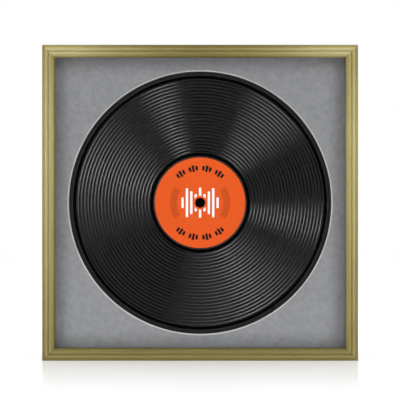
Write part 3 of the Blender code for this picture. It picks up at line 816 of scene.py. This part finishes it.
def grown(name, mesh, maker, values):
    """Return the mesh that a Geometry Nodes tree makes of a base mesh, with its named inputs."""
    obj = linked_object(name + "_base", mesh)
    modifier = obj.modifiers.new(name, "NODES")
    modifier.node_group = group_of(maker)
    inputs = {item.name: item.identifier for item in modifier.node_group.interface.items_tree
              if item.item_type == "SOCKET" and item.in_out == "INPUT"}
    for key, value in values.items():
        modifier[inputs[key]] = value
    return plain_mesh(obj)


def new_mesh(name, points, edges=(), faces=(), **numbers):
    """Return a mesh with number attributes of its points."""
    mesh = bpy.data.meshes.new(name)
    mesh.from_pydata(points, edges, faces)
    for key, values in numbers.items():
        mesh.attributes.new(key, "FLOAT", "POINT").data.foreach_set("value", values)
    return mesh


def wire_mesh(name, points, closed=False):
    """Return a mesh of points in order, joined by edges."""
    edges = [(index, index + 1) for index in range(len(points) - 1)]
    if closed:
        edges.append((len(points) - 1, 0))
    return new_mesh(name, points, edges)


def turned(name, profile, values):
    """Return the mesh of (radius, height) points in order, turned about Z."""
    wire = wire_mesh("profile", [(radius, 0, height) for radius, height in profile])
    return grown(name, wire, turned_piece, values)


def looped_mesh(name, loops):
    """Return a mesh of closed loops of points, each joined to the next one round."""
    size = len(loops[0])
    faces = []
    for loop in range(len(loops)):
        after = (loop + 1) % len(loops)
        for point in range(size):
            following = (point + 1) % size
            faces.append((loop * size + point, loop * size + following,
                          after * size + following, after * size + point))
    return new_mesh(name, [point for loop in loops for point in loop], faces=faces)


def face_outwards(mesh):
    """Weld a mesh's doubles and turn its faces outwards."""
    bm = bmesh.new()
    bm.from_mesh(mesh)
    bmesh.ops.remove_doubles(bm, verts=bm.verts, dist=WELD)
    bmesh.ops.recalc_face_normals(bm, faces=bm.faces)
    bm.to_mesh(mesh)
    bm.free()


def drop_empty_slots(mesh):
    """Take a mesh's empty material slots away."""
    for index in reversed(range(len(mesh.materials))):
        if mesh.materials[index] is None:
            mesh.materials.pop(index=index)


def finished(name, mesh, body, nodes, matrix=Matrix(), sharp=35):
    """Make a piece of a mesh: place it, shade it, hang it on its body and hide the nodes it stands
    for.
    """
    face_outwards(mesh)
    drop_empty_slots(mesh)
    mesh.transform(matrix)
    mesh.shade_smooth()
    mesh.set_sharp_from_angle(angle=math.radians(sharp))
    mesh.name = name
    piece = linked_object(name, mesh)
    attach(piece, body)
    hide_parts(*nodes)


def bow(start, crown, end, steps):
    """Return points along the smooth curve from start through crown to end."""
    handle = [2 * b - (a + c) / 2 for a, b, c in zip(start, crown, end)]
    return [tuple((1 - t) ** 2 * a + 2 * t * (1 - t) * h + t * t * c
                  for a, h, c in zip(start, handle, end))
            for t in (step / steps for step in range(steps + 1))]


def arc(centre, radius, first, last, steps):
    """Return points on a circle from one angle to another."""
    return [(centre[0] + radius * math.cos(first + (last - first) * step / steps),
             centre[1] + radius * math.sin(first + (last - first) * step / steps))
            for step in range(steps + 1)]


def between(stops, place):
    """Return the level at a place between (place, level) stops."""
    for (low, first), (high, last) in zip(stops, stops[1:]):
        if place <= high:
            return first + (last - first) * max(0.0, place - low) / (high - low)
    return stops[-1][1]


def quarter_turn(quarters, size=4):
    """Return a rotation about Y by a number of quarters, from one rail to another."""
    return Matrix.Rotation(quarters * math.pi / 2, size, "Y")


def filled_section(steps):
    """Return the moulding's section as one filled face, with its girth, its coating and its tone by
    rubbing and painted shade.
    """
    depth = RAIL_BACK_Y - FRONT_Y
    back_width = FRAME_HALF - RABBET_HALF
    edge, edge_relief = 0.0003, 0.35
    face = []
    for stretch in FACE_STRETCHES:
        face += [point for point in bow(*stretch, steps) if not face or point != face[-1]]
    coated = [(edge, depth), (0, depth - edge)]
    coated += [(across * RAIL_WIDTH, down * LIP_DEPTH) for across, down in face]
    coated.append((RAIL_WIDTH, LIP_DEPTH))
    bare = [(back_width, LIP_DEPTH), (back_width, depth - edge), (back_width - edge, depth)]
    points = coated + bare
    girth = [0.0]
    for pair in zip(points, points[1:]):
        girth.append(girth[-1] + math.dist(*pair))
    # Tone across the face, with painted shade on the outer slope and the inner lip
    relief = [between(RUBBED_AND_SHADED, across / RAIL_WIDTH) for across, _ in points]
    relief[:2] = [edge_relief, edge_relief]
    return new_mesh(
        "section", [(x, y, 0) for x, y in points], faces=[list(range(len(points)))], girth=girth,
        foiled=[1.0] * len(coated) + [0.0] * len(bare), relief=relief)


def on_rail(quarters):
    """Return the placement of a rail whose section was drawn inwards and back."""
    to_edge = Matrix.Translation((0, 0, -FRAME_HALF))
    return (Matrix.Translation((0, FRONT_Y, CENTRE_Z)) @ quarter_turn(quarters) @ to_edge
            @ quarter_turn(-1))


def wedge_points(grown_by=0.0):
    """Return the angle-shaped section of a corner wedge."""
    wing, thick = 0.0050, 0.0005
    low, tip, inner = -grown_by, wing + grown_by, thick + grown_by
    return [(low, low), (tip, low), (tip, inner), (inner, inner), (inner, tip), (low, tip)]


def upright_prism(name, outline, front_y, back_y):
    """Return a prism whose outline lies in X and Z."""
    count = len(outline)
    points = [(x, y, z) for y in (front_y, back_y) for x, z in outline]
    faces = [list(range(count)), list(range(2 * count - 1, count - 1, -1))]
    faces += [(i, (i + 1) % count, count + (i + 1) % count, count + i) for i in range(count)]
    mesh = new_mesh(name, points, faces=faces)
    face_outwards(mesh)
    return mesh


def softened(mesh, width, angle=30):
    """Round a mesh's edges."""
    obj = linked_object("softened", mesh)
    bevel = obj.modifiers.new("softened", "BEVEL")
    bevel.width = width
    bevel.segments = 2
    bevel.limit_method = "ANGLE"
    bevel.angle_limit = math.radians(angle)
    return plain_mesh(obj)


def cut(mesh, tool_mesh):
    """Cut a mesh by another mesh."""
    obj, tool = linked_object("cut", mesh), linked_object("tool", tool_mesh)
    boolean = obj.modifiers.new("cut", "BOOLEAN")
    boolean.operation = "DIFFERENCE"
    boolean.solver = "EXACT"
    boolean.object = tool
    result = plain_mesh(obj)
    bpy.data.objects.remove(tool)
    return result


def ring_board(name, half, sizes, segments):
    """Return a square board with a round window.

    The sizes are (radius, y) points of the window's wall from its front to its back.
    """
    square, circle = [], []
    for index in range(segments):
        angle = 2 * math.pi * index / segments + math.pi / 4
        x, z = math.cos(angle), math.sin(angle)
        scale = half / max(abs(x), abs(z))
        square.append((x * scale, z * scale))
        circle.append((x, z))
    rings = [[(x * radius, y, z * radius) for x, z in circle] for radius, y in sizes]
    front, back = ([(x, y, z) for x, z in square] for y in (sizes[0][1], sizes[-1][1]))
    mesh = looped_mesh(name, [front, *rings, back])
    mesh.transform(TO_CENTRE)
    return mesh


class VINYLFRAME_OT_moulding(bpy.types.Operator):
    """Make the four mitred rails of reeded gold moulding"""

    bl_idname = "vinyl_frame.moulding"
    bl_label = "Gold Moulding"

    def execute(self, context):
        settings = context.scene.vinyl_frame_moulding
        foil, wood = shared(gold_foil, settings), shared(bare_wood, settings)
        # Slots for the corner wedges, a third of the way in and a little wider than a wedge
        inset_share, slack, deep, past = 0.34, 0.00015, 0.0073, 0.002
        corner = inset_share * (FRAME_HALF - RABBET_HALF) - FRAME_HALF
        outline = [(x + corner, z + corner) for x, z in wedge_points(slack)]
        slots = []
        for quarter in range(4):
            slot = upright_prism("slot", outline, RAIL_BACK_Y - deep, RAIL_BACK_Y + past)
            slot.transform(TO_CENTRE @ quarter_turn(quarter))
            slots.append(slot)
        for quarter, side in enumerate(SIDES):
            section = filled_section(settings.face_steps)
            mesh = grown("rail_" + side, section, mitred_rail, {
                "Length": 2 * FRAME_HALF, "Mitre Gap": settings.mitre_gap / math.sqrt(2),
                "Foil": foil, "Wood": wood})
            mesh.transform(on_rail(quarter))
            for slot in (slots[quarter], slots[quarter - 1]):
                mesh = cut(mesh, slot)
            finished("moulding_" + side, mesh, "root", ["rail_" + side])
        return {"FINISHED"}


class VINYLFRAME_OT_glass(bpy.types.Operator):
    """Finish the sheet of glass"""

    bl_idname = "vinyl_frame.glass"
    bl_label = "Glass"

    def execute(self, context):
        for slot in frame["nodes"]["glass_sheet"].material_slots:
            slot.material = shared(picture_glass)
        return {"FINISHED"}


class VINYLFRAME_OT_mount_board(bpy.types.Operator):
    """Make the grey mount board with its bevelled round window"""

    bl_idname = "vinyl_frame.mount_board"
    bl_label = "Mount Board"

    def execute(self, context):
        settings = context.scene.vinyl_frame_boards
        thickness = MOUNT_BACK_Y - MOUNT_FRONT_Y
        inner, edge = RECORD_RADIUS - settings.overlap, 0.00006
        sizes = ((inner + thickness, MOUNT_FRONT_Y), (inner + edge, MOUNT_BACK_Y - edge),
                 (inner + edge, MOUNT_BACK_Y))
        mesh = ring_board("mount", BOARD_HALF, sizes, settings.window_segments)
        mesh.materials.append(shared(mount_paper, settings))
        mesh.materials.append(shared(board_core, settings))
        for face in mesh.polygons:
            face.material_index = 0 if face.index < settings.window_segments else 1
        finished("mount", mesh, "root", ["mount_board"])
        return {"FINISHED"}


def record_profile(ridges):
    """Return the record's whole section as (radius, height), from its front centre round."""
    spindle, boss, nick = 0.00362, 0.0055, 0.0001
    top = (RECORD_BACK_Y - RECORD_FRONT_Y) / 2
    face = top - nick
    seat = face - LABEL_DEPTH - nick
    floor = top - 0.00045
    bead_inner = LABEL_RADIUS + 0.00035
    bead_outer = bead_inner + 0.0021
    rim_inner = RECORD_RADIUS - 0.0061
    points = [(spindle + 2 * nick, face), (boss - 2 * nick, face), (boss, face - nick),
              (boss, seat), (bead_inner, seat), (bead_inner, face - nick)]
    points += bow((bead_inner + nick, face), (bead_inner + 0.0008, top), (bead_outer, floor), 16)
    plain_back = [(radius, -height) for radius, height in points]
    pitch = (FIELD_OUTER - FIELD_INNER) / ridges
    points.append((FIELD_INNER, floor))
    points += [(FIELD_INNER + pitch * (ridge + share), floor)
               for ridge in range(ridges) for share in RIDGE_SHARES]
    points.append((FIELD_OUTER, floor))
    shoulder = (RECORD_RADIUS - 0.0006, top - 0.00004)
    rim = [(rim_inner, floor), (rim_inner + 0.0003, floor + 0.00005),
           (rim_inner + 0.00055, top - 0.00008), (rim_inner + 0.0009, top)]
    rim += bow(shoulder, (RECORD_RADIUS - 0.00015, top - 0.00025),
               (RECORD_RADIUS, top - 0.0007), 6)
    plain_back += [(radius, -height) for radius, height in rim]
    wall = [(spindle, 2 * nick - face), (spindle, face - 2 * nick)]
    return points + rim + plain_back[::-1] + wall


class VINYLFRAME_OT_record(bpy.types.Operator):
    """Turn the record with its ridges, rim and label bead"""

    bl_idname = "vinyl_frame.record"
    bl_label = "Record"

    def execute(self, context):
        settings = context.scene.vinyl_frame_record
        start, top, end = RIDGE_SHARES
        mesh = turned("record", record_profile(settings.ridges), {
            "Segments": settings.segments, "Closed Profile": 1, "Ridges": settings.ridges,
            "Ridge Height": settings.ridge_height, "First Radius": FIELD_INNER,
            "Last Radius": FIELD_OUTER, "Ridge Start": start, "Ridge Top": top,
            "Ridge End": end, "Material": shared(pressed_vinyl, settings)})
        middle = (RECORD_FRONT_Y + RECORD_BACK_Y) / 2
        place = Matrix.Translation((0, middle, CENTRE_Z)) @ TO_FRONT
        finished("record", mesh, "root", ["record_disc"], place, sharp=5)
        return {"FINISHED"}


class VINYLFRAME_OT_labels(bpy.types.Operator):
    """Make the paper labels on both sides of the record"""

    bl_idname = "vinyl_frame.labels"
    bl_label = "Labels"

    def execute(self, context):
        paper = shared(label_paper, context.scene.vinyl_frame_record)
        hole, edge, half = 0.0058, 0.00004, LABEL_DEPTH / 2
        profile = [(hole, half), (LABEL_RADIUS - edge, half), (LABEL_RADIUS, half - edge),
                   (LABEL_RADIUS, -half), (hole, -half)]
        for side, turn in (("front", TO_FRONT), ("back", TO_BACK)):
            low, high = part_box("record_label_" + side)
            mesh = turned("label", profile, {
                "Segments": 192, "Closed Profile": 1, "Material": paper})
            place = Matrix.Translation((0, (low.y + high.y) / 2, CENTRE_Z)) @ turn
            finished("label_" + side, mesh, "root", ["record_label_" + side], place)
        return {"FINISHED"}


class VINYLFRAME_OT_boards(bpy.types.Operator):
    """Make the record's spacer, the back mount and the hardboard back"""

    bl_idname = "vinyl_frame.boards"
    bl_label = "Boards Behind"

    def execute(self, context):
        settings = context.scene.vinyl_frame_boards
        radius = RECORD_RADIUS + 0.0004
        spacer = ring_board("spacer", BOARD_HALF, (
            (radius, RECORD_FRONT_Y), (radius, RECORD_BACK_Y)), settings.window_segments)
        spacer.materials.append(shared(board_core, settings))
        finished("spacer", spacer, "root", ["record_spacer"])
        boards = (("back_mount", back_paper, "black_board", 0.0001),
                  ("backing_board", hardboard, "brown_hardboard", 0.0004))
        for name, maker, slot, edge in boards:
            low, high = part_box(name)
            corners = [(low.x, low.z), (high.x, low.z), (high.x, high.z), (low.x, high.z)]
            mesh = softened(upright_prism(name, corners, low.y, high.y), edge)
            mesh.materials.clear()
            mesh.materials.append(shared(maker, settings))
            finished(name + "_sheet", mesh, "root", [name])
        return {"FINISHED"}


def repeated(name, piece_mesh, places, turns, material, random_turn=0.0):
    """Return one mesh of a piece repeated at each place."""
    piece = linked_object("piece", piece_mesh)
    mesh = grown(name, new_mesh("points", places, turn=turns), repeated_piece, {
        "Piece": piece, "Random Turn": random_turn, "Material": material})
    bpy.data.objects.remove(piece)
    return mesh


def seat_of(name, end):
    """Return the middle of a node's box in X and Z, at its front (0) or back (1)."""
    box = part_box(name)
    return (box[0].x + box[1].x) / 2, box[end].y, (box[0].z + box[1].z) / 2


class VINYLFRAME_OT_corner_wedges(bpy.types.Operator):
    """Press the angle-shaped wedges into the back of the mitres"""

    bl_idname = "vinyl_frame.corner_wedges"
    bl_label = "Corner Wedges"

    def execute(self, context):
        zinc = shared(zinc_plate, context.scene.vinyl_frame_hardware)
        low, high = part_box("corner_wedge_bottom_left")
        wedge = softened(upright_prism("wedge", wedge_points(), low.y, high.y), 0.00008)
        inset = low.z - FRAME_HALF
        places, turns, nodes = [], [], []
        for index, side in enumerate(SIDES):
            spot = quarter_turn(index, 3) @ Vector((inset, 0, inset))
            places.append((spot.x, 0, spot.z + CENTRE_Z))
            turns.append(index * math.pi / 2)
            nodes.append("corner_wedge_" + side + "_" + SIDES[(index + 1) % 4])
        mesh = repeated("wedges", wedge, places, turns, zinc)
        finished("corner_wedges", mesh, "root", nodes)
        return {"FINISHED"}


def recess_mesh(angle):
    """Return the tapered bar that presses one arm of a screw's cross recess."""
    wide, deep, thick = 0.00150, 0.0010, 0.00027
    corners = []
    for depth, share in ((0.0004, 1.25), (-deep, 0.45)):
        w, t = wide * share, thick * (0.6 + 0.4 * share)
        corners += [(-w, -t, depth), (w, -t, depth), (w, t, depth), (-w, t, depth)]
    bar = new_mesh("recess", corners, faces=[
        (0, 1, 2, 3), (7, 6, 5, 4), (0, 4, 5, 1), (1, 5, 6, 2), (2, 6, 7, 3), (3, 7, 4, 0)])
    bar.transform(Matrix.Rotation(angle, 4, "Z"))
    face_outwards(bar)
    return bar


def screw_mesh():
    """Return a round-headed screw with a cross recess, facing +Y, with its head's top at zero."""
    head, height, shank, length = 0.0027, 0.0016, 0.0014, 0.0100
    dome = ((0, 0), (0.3, 0.02), (0.55, 0.10), (0.76, 0.27), (0.91, 0.52), (0.985, 0.78),
            (1, 0.93), (0.97, 1))
    profile = [(across * head, -down * height) for across, down in dome] + [(shank, -height)]
    threads, thread_pitch, root = 9, 0.0008, shank * 0.8
    for thread in range(threads):
        start = -height - 0.0004 - thread * thread_pitch
        profile += [(root, start), (shank, start - 0.0003), (root, start - 0.0006)]
    profile += [(shank * 0.75, -height - 0.0078), (0, -height - length)]
    mesh = turned("screw", profile, {"Segments": 28})
    face_outwards(mesh)
    mesh.materials.clear()
    for angle in (0, math.pi / 2):
        mesh = cut(mesh, recess_mesh(angle))
    mesh.transform(TO_BACK)
    return mesh


class VINYLFRAME_OT_screws(bpy.types.Operator):
    """Drive the screws of the turn buttons and the hangers"""

    bl_idname = "vinyl_frame.screws"
    bl_label = "Screws"

    def execute(self, context):
        zinc = shared(zinc_plate, context.scene.vinyl_frame_hardware)
        nodes = ["button_screw_%s_%d" % (side, number) for side in SIDES for number in (1, 2)]
        nodes += ["hanger_screw_left", "hanger_screw_right"]
        places = [seat_of(name, 1) for name in nodes]
        mesh = repeated("screws", screw_mesh(), places, [0.0] * len(places), zinc, math.pi)
        finished("screws", mesh, "root", nodes)
        return {"FINISHED"}


def button_outline(reach, inward=0.0):
    """Return the outline of a turn button about its screw, with its tip along +Z."""
    root, tip, steps = 0.0040 - inward, 0.0030 - inward, 12
    lean = math.asin((root - tip) / reach)
    return (arc((0, reach), tip, lean, math.pi - lean, steps)
            + arc((0, 0), root, math.pi - lean, 2 * math.pi + lean, 2 * steps))


def hole_angles(reach):
    """Return angles round the hole that match the outline's points in order."""
    outline = button_outline(reach)
    angles, run = [], [0.0]
    for (x, z), following in zip(outline, outline[1:] + outline[:1]):
        angle = math.atan2(z, x)
        while angles and angle < angles[-1] - 0.000001:
            angle += 2 * math.pi
        angles.append(angle)
        run.append(run[-1] + max(math.dist((x, z), following), 0.00001))
    return [(angle + angles[0] + 2 * math.pi * part / run[-1]) / 2
            for angle, part in zip(angles, run)]


def button_mesh(reach, thickness):
    """Return a turn button at its screw hole, with rounded edges and a dished hole."""
    top, edge = thickness / 2, 0.00028
    corner = 0.35 * edge
    rings = [[(x, depth, z) for x, z in button_outline(reach, inward)]
             for inward, depth in ((0.0, top - edge), (corner, top - corner), (edge, top))]
    rings += [[(radius * math.cos(a), depth, radius * math.sin(a)) for a in hole_angles(reach)]
              for radius, depth in ((0.0023, top), (0.0018, top - 0.0003))]
    back = [[(x, -y, z) for x, y, z in ring] for ring in rings]
    return looped_mesh("button", rings + back[::-1])


class VINYLFRAME_OT_turn_buttons(bpy.types.Operator):
    """Make the brass buttons that keep the backing board in"""

    bl_idname = "vinyl_frame.turn_buttons"
    bl_label = "Turn Buttons"

    def execute(self, context):
        settings = context.scene.vinyl_frame_hardware
        brass = shared(stamped_brass, settings)
        for index, side in enumerate(SIDES):
            for number in (1, 2):
                name = "turn_button_%s_%d" % (side, number)
                low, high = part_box(name)
                x, _, z = JOINTS[name]["pos_m"]
                mesh = repeated("button", button_mesh(settings.button_reach, high.y - low.y),
                                [(x, (low.y + high.y) / 2, z)], [index * math.pi / 2], brass)
                finished("button_%s_%d" % (side, number), mesh, name, [name],
                         sharp=50)
        return {"FINISHED"}


def strap_mesh():
    """Return a hanger's strap about its base, curled at the top and rounded at its foot."""
    thick, eye, width, foot = 0.0008, 0.0020, 0.0065, 0.0142
    slit = 0.08 - math.asin((eye - thick) / eye)
    path = arc((0, eye), eye - thick / 2, slit, 1.5 * math.pi, 26)
    length, straight, across = foot + width / 2, 22, 9
    path += [(length * i / straight, thick / 2) for i in range(1, straight + 1)]
    rows = []
    for x, y in path:
        half = width / 2
        if x > foot and y < thick:
            half = math.sqrt(max(half ** 2 - (x - foot) ** 2, 0.00025 ** 2))
        rows.append([(half * (2 * i / (across - 1) - 1), y, -x) for i in range(across)])
    faces = [(r * across + i, r * across + i + 1, (r + 1) * across + i + 1, (r + 1) * across + i)
             for r in range(len(rows) - 1) for i in range(across - 1)]
    obj = linked_object("strap", new_mesh("strap", [p for row in rows for p in row], faces=faces))
    solid = obj.modifiers.new("sheet", "SOLIDIFY")
    solid.thickness = thick
    solid.offset = 0.0
    solid.use_even_offset = True
    return softened(plain_mesh(obj), 0.00014, 50)


def ring_path():
    """Return the hanger ring's closed path about its hinge, hanging down."""
    wire, inner, length, corner = 0.0009, 0.0074, 0.0100, 0.0012
    half = inner / 2 + wire
    shoulder = arc((half - corner, -corner), corner, math.pi / 2, 0, 6)
    path = shoulder + arc((0, half - length), half, 0, -math.pi, 28)
    path += [(-x, z) for x, z in reversed(shoulder)]
    return [(x, 0, z) for x, z in path]


class VINYLFRAME_OT_ring_hangers(bpy.types.Operator):
    """Make the two ring hangers: their curled straps and bent wire rings"""

    bl_idname = "vinyl_frame.ring_hangers"
    bl_label = "Ring Hangers"

    def execute(self, context):
        settings = context.scene.vinyl_frame_hardware
        nickel = shared(nickel_plate, settings)
        places = []
        for side in ("left", "right"):
            name = "hanger_ring_" + side
            x, y, z = JOINTS[name]["pos_m"]
            mesh = grown("ring", wire_mesh("path", ring_path(), closed=True), bent_wire, {
                "Wire Radius": settings.wire_radius, "Segments": 16, "Material": nickel})
            finished("ring_" + side, mesh, name, [name],
                     Matrix.Translation((x, y, z)), sharp=60)
            places.append((x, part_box("hanger_strap_" + side)[0].y, z))
        straps = repeated("straps", strap_mesh(), places, [0.0, 0.0], nickel)
        finished("hanger_straps", straps, "root",
                 ["hanger_strap_left", "hanger_strap_right"], sharp=40)
        return {"FINISHED"}


class VINYLFRAME_OT_bumpers(bpy.types.Operator):
    """Make the two soft bumpers on the bottom rail"""

    bl_idname = "vinyl_frame.bumpers"
    bl_label = "Wall Bumpers"

    def execute(self, context):
        rubber = shared(soft_rubber, context.scene.vinyl_frame_hardware)
        nodes = ["wall_bumper_left", "wall_bumper_right"]
        low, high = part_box(nodes[0])
        height, radius = high.y - low.y, (high.x - low.x) / 2
        shares = [(0, 1), (0.45, 1), *bow((0.55, 0.995), (0.86, 0.80), (0.985, 0.35), 6),
                  (1, 0.12), (1, 0.02), (0.98, 0), (0, 0)]
        profile = [(across * radius, up * height) for across, up in shares]
        dome = turned("bumper", profile, {"Segments": 36})
        dome.transform(TO_BACK)
        face_outwards(dome)
        places = [seat_of(name, 0) for name in nodes]
        mesh = repeated("bumpers", dome, places, [0.0, 0.0], rubber)
        finished("bumpers", mesh, "root", nodes, sharp=50)
        return {"FINISHED"}


# Light screen round the camera: brightness by the angle from the camera's direction, in degrees
SCREEN_LEVELS = ((0, 0.0), (26, 0.0), (40, 0.0), (52, 0.10), (57, 0.2), (59.5, 5.2), (69.5, 5.2),
                 (72, 0.7), (90, 0.5))
# Softboxes in front of that screen: direction from the right, in degrees, and brightness
SOFTBOXES = ((0, 0.04), (3, 0.001), (31, 0.001), (44, 0.56), (56, 0.56), (69, 0.001), (99, 0.001),
             (104, 0.42), (110, 0.90), (121, 0.05), (131, 0.05), (147, 0.41), (156, 0.71),
             (165, 0.95), (175, 0.50), (185, 0.26), (195, 0.11), (209, 0.001), (251, 0.001),
             (261, 0.09), (275, 0.25), (286, 0.48), (296, 0.88), (306, 0.66), (316, 0.34),
             (326, 0.12), (336, 0.01), (342, 0.30), (348, 0.84), (355, 0.49), (360, 0.04))
SOFTBOX_STRENGTH = 5.9
SCREEN_RADIUS, SCREEN_EDGE = 6.0, 76.5
CARD_EDGE = 40.0
FLOOR_REACH, WORLD_LEVEL = 6.0, 0.8
SENSOR_WIDTH = 36.0


def floor_material():
    """Pale floor that shows white where it is lit and mirrors the frame faintly before it."""
    finish = Finish("pale_floor", Metallic=0.0, Roughness=0.6, Base_Color=(0.80, 0.80, 0.80, 1),
                    Specular_IOR_Level=0.0, Emission_Color=(1, 1, 1, 1))
    mirror = signal(finish.tree, "ShaderNodeBsdfGlossy", {
        "Color": (0.90, 0.96, 1, 1), "Roughness": 0.12})
    ahead = FRONT_Y - split(finish.place)[1]
    fade = spread(ahead, 0.0, 0.92, 0.40, 0.0) * spread(ahead, -0.03, 0.0)
    finish.surface = signal(finish.tree, "ShaderNodeMixShader", {
        0: fade, 1: finish.surface, 2: mirror})
    seen = seen_by(finish.tree, "Camera", "Transmission", "Glossy")
    return finish.done(Emission_Strength=seen * 0.30)


def level_ramp(value, stops):
    """Return the level that a ramp of (position, level) stops gives for a value."""
    top = max(level for _, level in stops)
    ramp = node(value.tree, "ShaderNodeValToRGB", {0: value})
    elements = ramp.color_ramp.elements
    while len(elements) < len(stops):
        elements.new(0.5)
    for element, (place, level) in zip(elements, stops):
        element.position = place
        element.color = (level / top, level / top, level / top, 1)
    shade = Signal(value.tree, ramp.outputs[0])
    return signal(value.tree, "ShaderNodeSeparateColor", {0: shade}) * top


def ring_pattern(across, up, angle):
    """Return the screen's brightness, with more light from the sides than from above and below."""
    base = level_ramp(angle / (math.pi / 2), [
        (degrees / 90, level) for degrees, level in SCREEN_LEVELS])
    return base * ((across * across - up * up) * 0.22 + 1.0)


def softbox_pattern(across, up, angle):
    """Return the softboxes' brightness, with soft edges."""
    turn = (up.calc("ARCTAN2", across) / (2 * math.pi) + 1.0).calc("FRACT")
    boxes = level_ramp(turn, [(degrees / 360, level) for degrees, level in SOFTBOXES])
    inner, inner_full, outer_full, outer = (math.radians(edge) for edge in (20, 24, 28, 32))
    band = (spread(angle, inner, inner_full, smooth=True)
            * spread(angle, outer_full, outer, 1.0, 0.0, smooth=True))
    return boxes * band * SOFTBOX_STRENGTH


def shining_material(name, pattern, light):
    """Return a material that shines by its direction from the record's centre."""
    material = bpy.data.materials.new(name)
    tree = blank_tree(material)
    place = signal(tree, "ShaderNodeTexCoord", output="Object")
    away = signal(tree, "ShaderNodeVectorMath", {0: place, 1: (0, 0, CENTRE_Z)},
                  operation="SUBTRACT")
    x, y, z = split(signal(tree, "ShaderNodeVectorMath", {0: away}, operation="NORMALIZE"))
    angle = (y * -1.0).calc("ARCCOSINE")
    shine = signal(tree, "ShaderNodeEmission", {
        0: (1, 1, 1, 1), 1: pattern(x, z, angle) * light})
    node(tree, "ShaderNodeOutputMaterial", {"Surface": shine})
    lay_out(tree)
    return material


def screen_part(name, first, last, radius, material):
    """Return the part of the screen that lies between two angles from the camera's direction."""
    steps = max(4, round((last - first) / 1.5))
    angles = [math.radians(first + (last - first) * step / steps) for step in range(steps + 1)]
    mesh = turned(name, [(radius * math.sin(a), radius * math.cos(a)) for a in angles], {
        "Segments": 72, "Material": material})
    drop_empty_slots(mesh)
    mesh.transform(TO_CENTRE @ TO_FRONT)
    screen = linked_object(name, mesh)
    screen.visible_camera = False
    screen.visible_transmission = False
    return screen


def light_screen(light):
    """Light the frame from a ring round the camera and keep its glass dark.

    Softboxes in front of the dark card are only for the gloss of the vinyl and the gold.
    """
    card = Finish("dark_card", Roughness=1.0, Base_Color=(0.004, 0.004, 0.004, 1),
                  Specular_IOR_Level=0.0).done()
    screen_part("dark_card", 0.0, CARD_EDGE, SCREEN_RADIUS, card)
    screen_part("light_ring", CARD_EDGE, SCREEN_EDGE, SCREEN_RADIUS,
                shining_material("light_ring", ring_pattern, light))
    boxes = screen_part("softboxes", 19.5, 32.5, 0.99 * SCREEN_RADIUS,
                        shining_material("softboxes", softbox_pattern, light))
    boxes.visible_diffuse = False


def studio_world():
    """White to the camera, to metal and through glass, and soft even light for the rest."""
    world = bpy.data.worlds.new("studio")
    tree = blank_tree(world)
    seen = seen_by(tree, "Camera", "Transmission", "Glossy")
    background = signal(tree, "ShaderNodeBackground", {
        0: (1, 1, 1, 1), 1: seen.calc("MAXIMUM", WORLD_LEVEL)})
    node(tree, "ShaderNodeOutputWorld", {0: background})
    lay_out(tree)
    return world


class VINYLFRAME_OT_stage(bpy.types.Operator):
    """Set up the floor, the soft light, the white surroundings and the camera"""

    bl_idname = "vinyl_frame.stage"
    bl_label = "Stage"

    def execute(self, context):
        scene = context.scene
        settings = scene.vinyl_frame_stage
        floor = new_mesh("floor", [
            (FLOOR_REACH * x, FLOOR_REACH * y, 0) for x, y in ((-1, -1), (1, -1), (1, 1), (-1, 1))],
            faces=[(0, 1, 2, 3)])
        floor.materials.append(floor_material())
        ground = linked_object("floor", floor)
        ground.visible_shadow = False
        ground.visible_glossy = False
        light_screen(settings.light)
        scene.world = studio_world()
        camera = bpy.data.cameras.new("camera")
        camera.lens = settings.lens
        camera.sensor_width = SENSOR_WIDTH
        camera.clip_end = 50.0
        eye = linked_object("camera", camera)
        distance = settings.field * camera.lens / camera.sensor_width
        eye.location = (-0.0001, FRONT_Y - distance, settings.aim_height)
        eye.rotation_euler = (math.pi / 2, 0, 0)
        scene.camera = eye
        scene.view_settings.view_transform = "Standard"
        return {"FINISHED"}


class VINYLFRAME_PT_panel(bpy.types.Panel):
    """Buttons and settings of the record frame"""

    bl_idname = "VINYLFRAME_PT_panel"
    bl_label = "Record Frame"
    bl_space_type = "VIEW_3D"
    bl_region_type = "UI"
    bl_category = "Record Frame"

    def draw(self, context):
        layout = self.layout
        for operator in OPERATORS:
            layout.operator(operator.bl_idname)
        for key, group in SETTINGS.items():
            column = layout.box().column()
            column.label(text=group.__doc__)
            for name in group.__annotations__:
                column.prop(getattr(context.scene, key), name)


SETTINGS = {
    "vinyl_frame_moulding": VINYLFRAME_PG_moulding,
    "vinyl_frame_record": VINYLFRAME_PG_record,
    "vinyl_frame_boards": VINYLFRAME_PG_boards,
    "vinyl_frame_hardware": VINYLFRAME_PG_hardware,
    "vinyl_frame_stage": VINYLFRAME_PG_stage,
}
OPERATORS = (
    VINYLFRAME_OT_stage,
    VINYLFRAME_OT_moulding,
    VINYLFRAME_OT_glass,
    VINYLFRAME_OT_mount_board,
    VINYLFRAME_OT_record,
    VINYLFRAME_OT_labels,
    VINYLFRAME_OT_boards,
    VINYLFRAME_OT_corner_wedges,
    VINYLFRAME_OT_turn_buttons,
    VINYLFRAME_OT_screws,
    VINYLFRAME_OT_ring_hangers,
    VINYLFRAME_OT_bumpers,
)


def register():
    """Register the settings, operators and panel."""
    for key, group in SETTINGS.items():
        bpy.utils.register_class(group)
        setattr(bpy.types.Scene, key, bpy.props.PointerProperty(type=group))
    for operator in OPERATORS:
        bpy.utils.register_class(operator)
    bpy.utils.register_class(VINYLFRAME_PT_panel)


def unregister():
    """Take the panel, operators and settings away again."""
    bpy.utils.unregister_class(VINYLFRAME_PT_panel)
    for operator in reversed(OPERATORS):
        bpy.utils.unregister_class(operator)
    for key, group in reversed(SETTINGS.items()):
        delattr(bpy.types.Scene, key)
        bpy.utils.unregister_class(group)


def main():
    """Build every piece and the stage."""
    register()
    for operator in OPERATORS:
        family, action = operator.bl_idname.split(".")
        getattr(getattr(bpy.ops, family), action)()


if __name__ == "__main__":
    main()
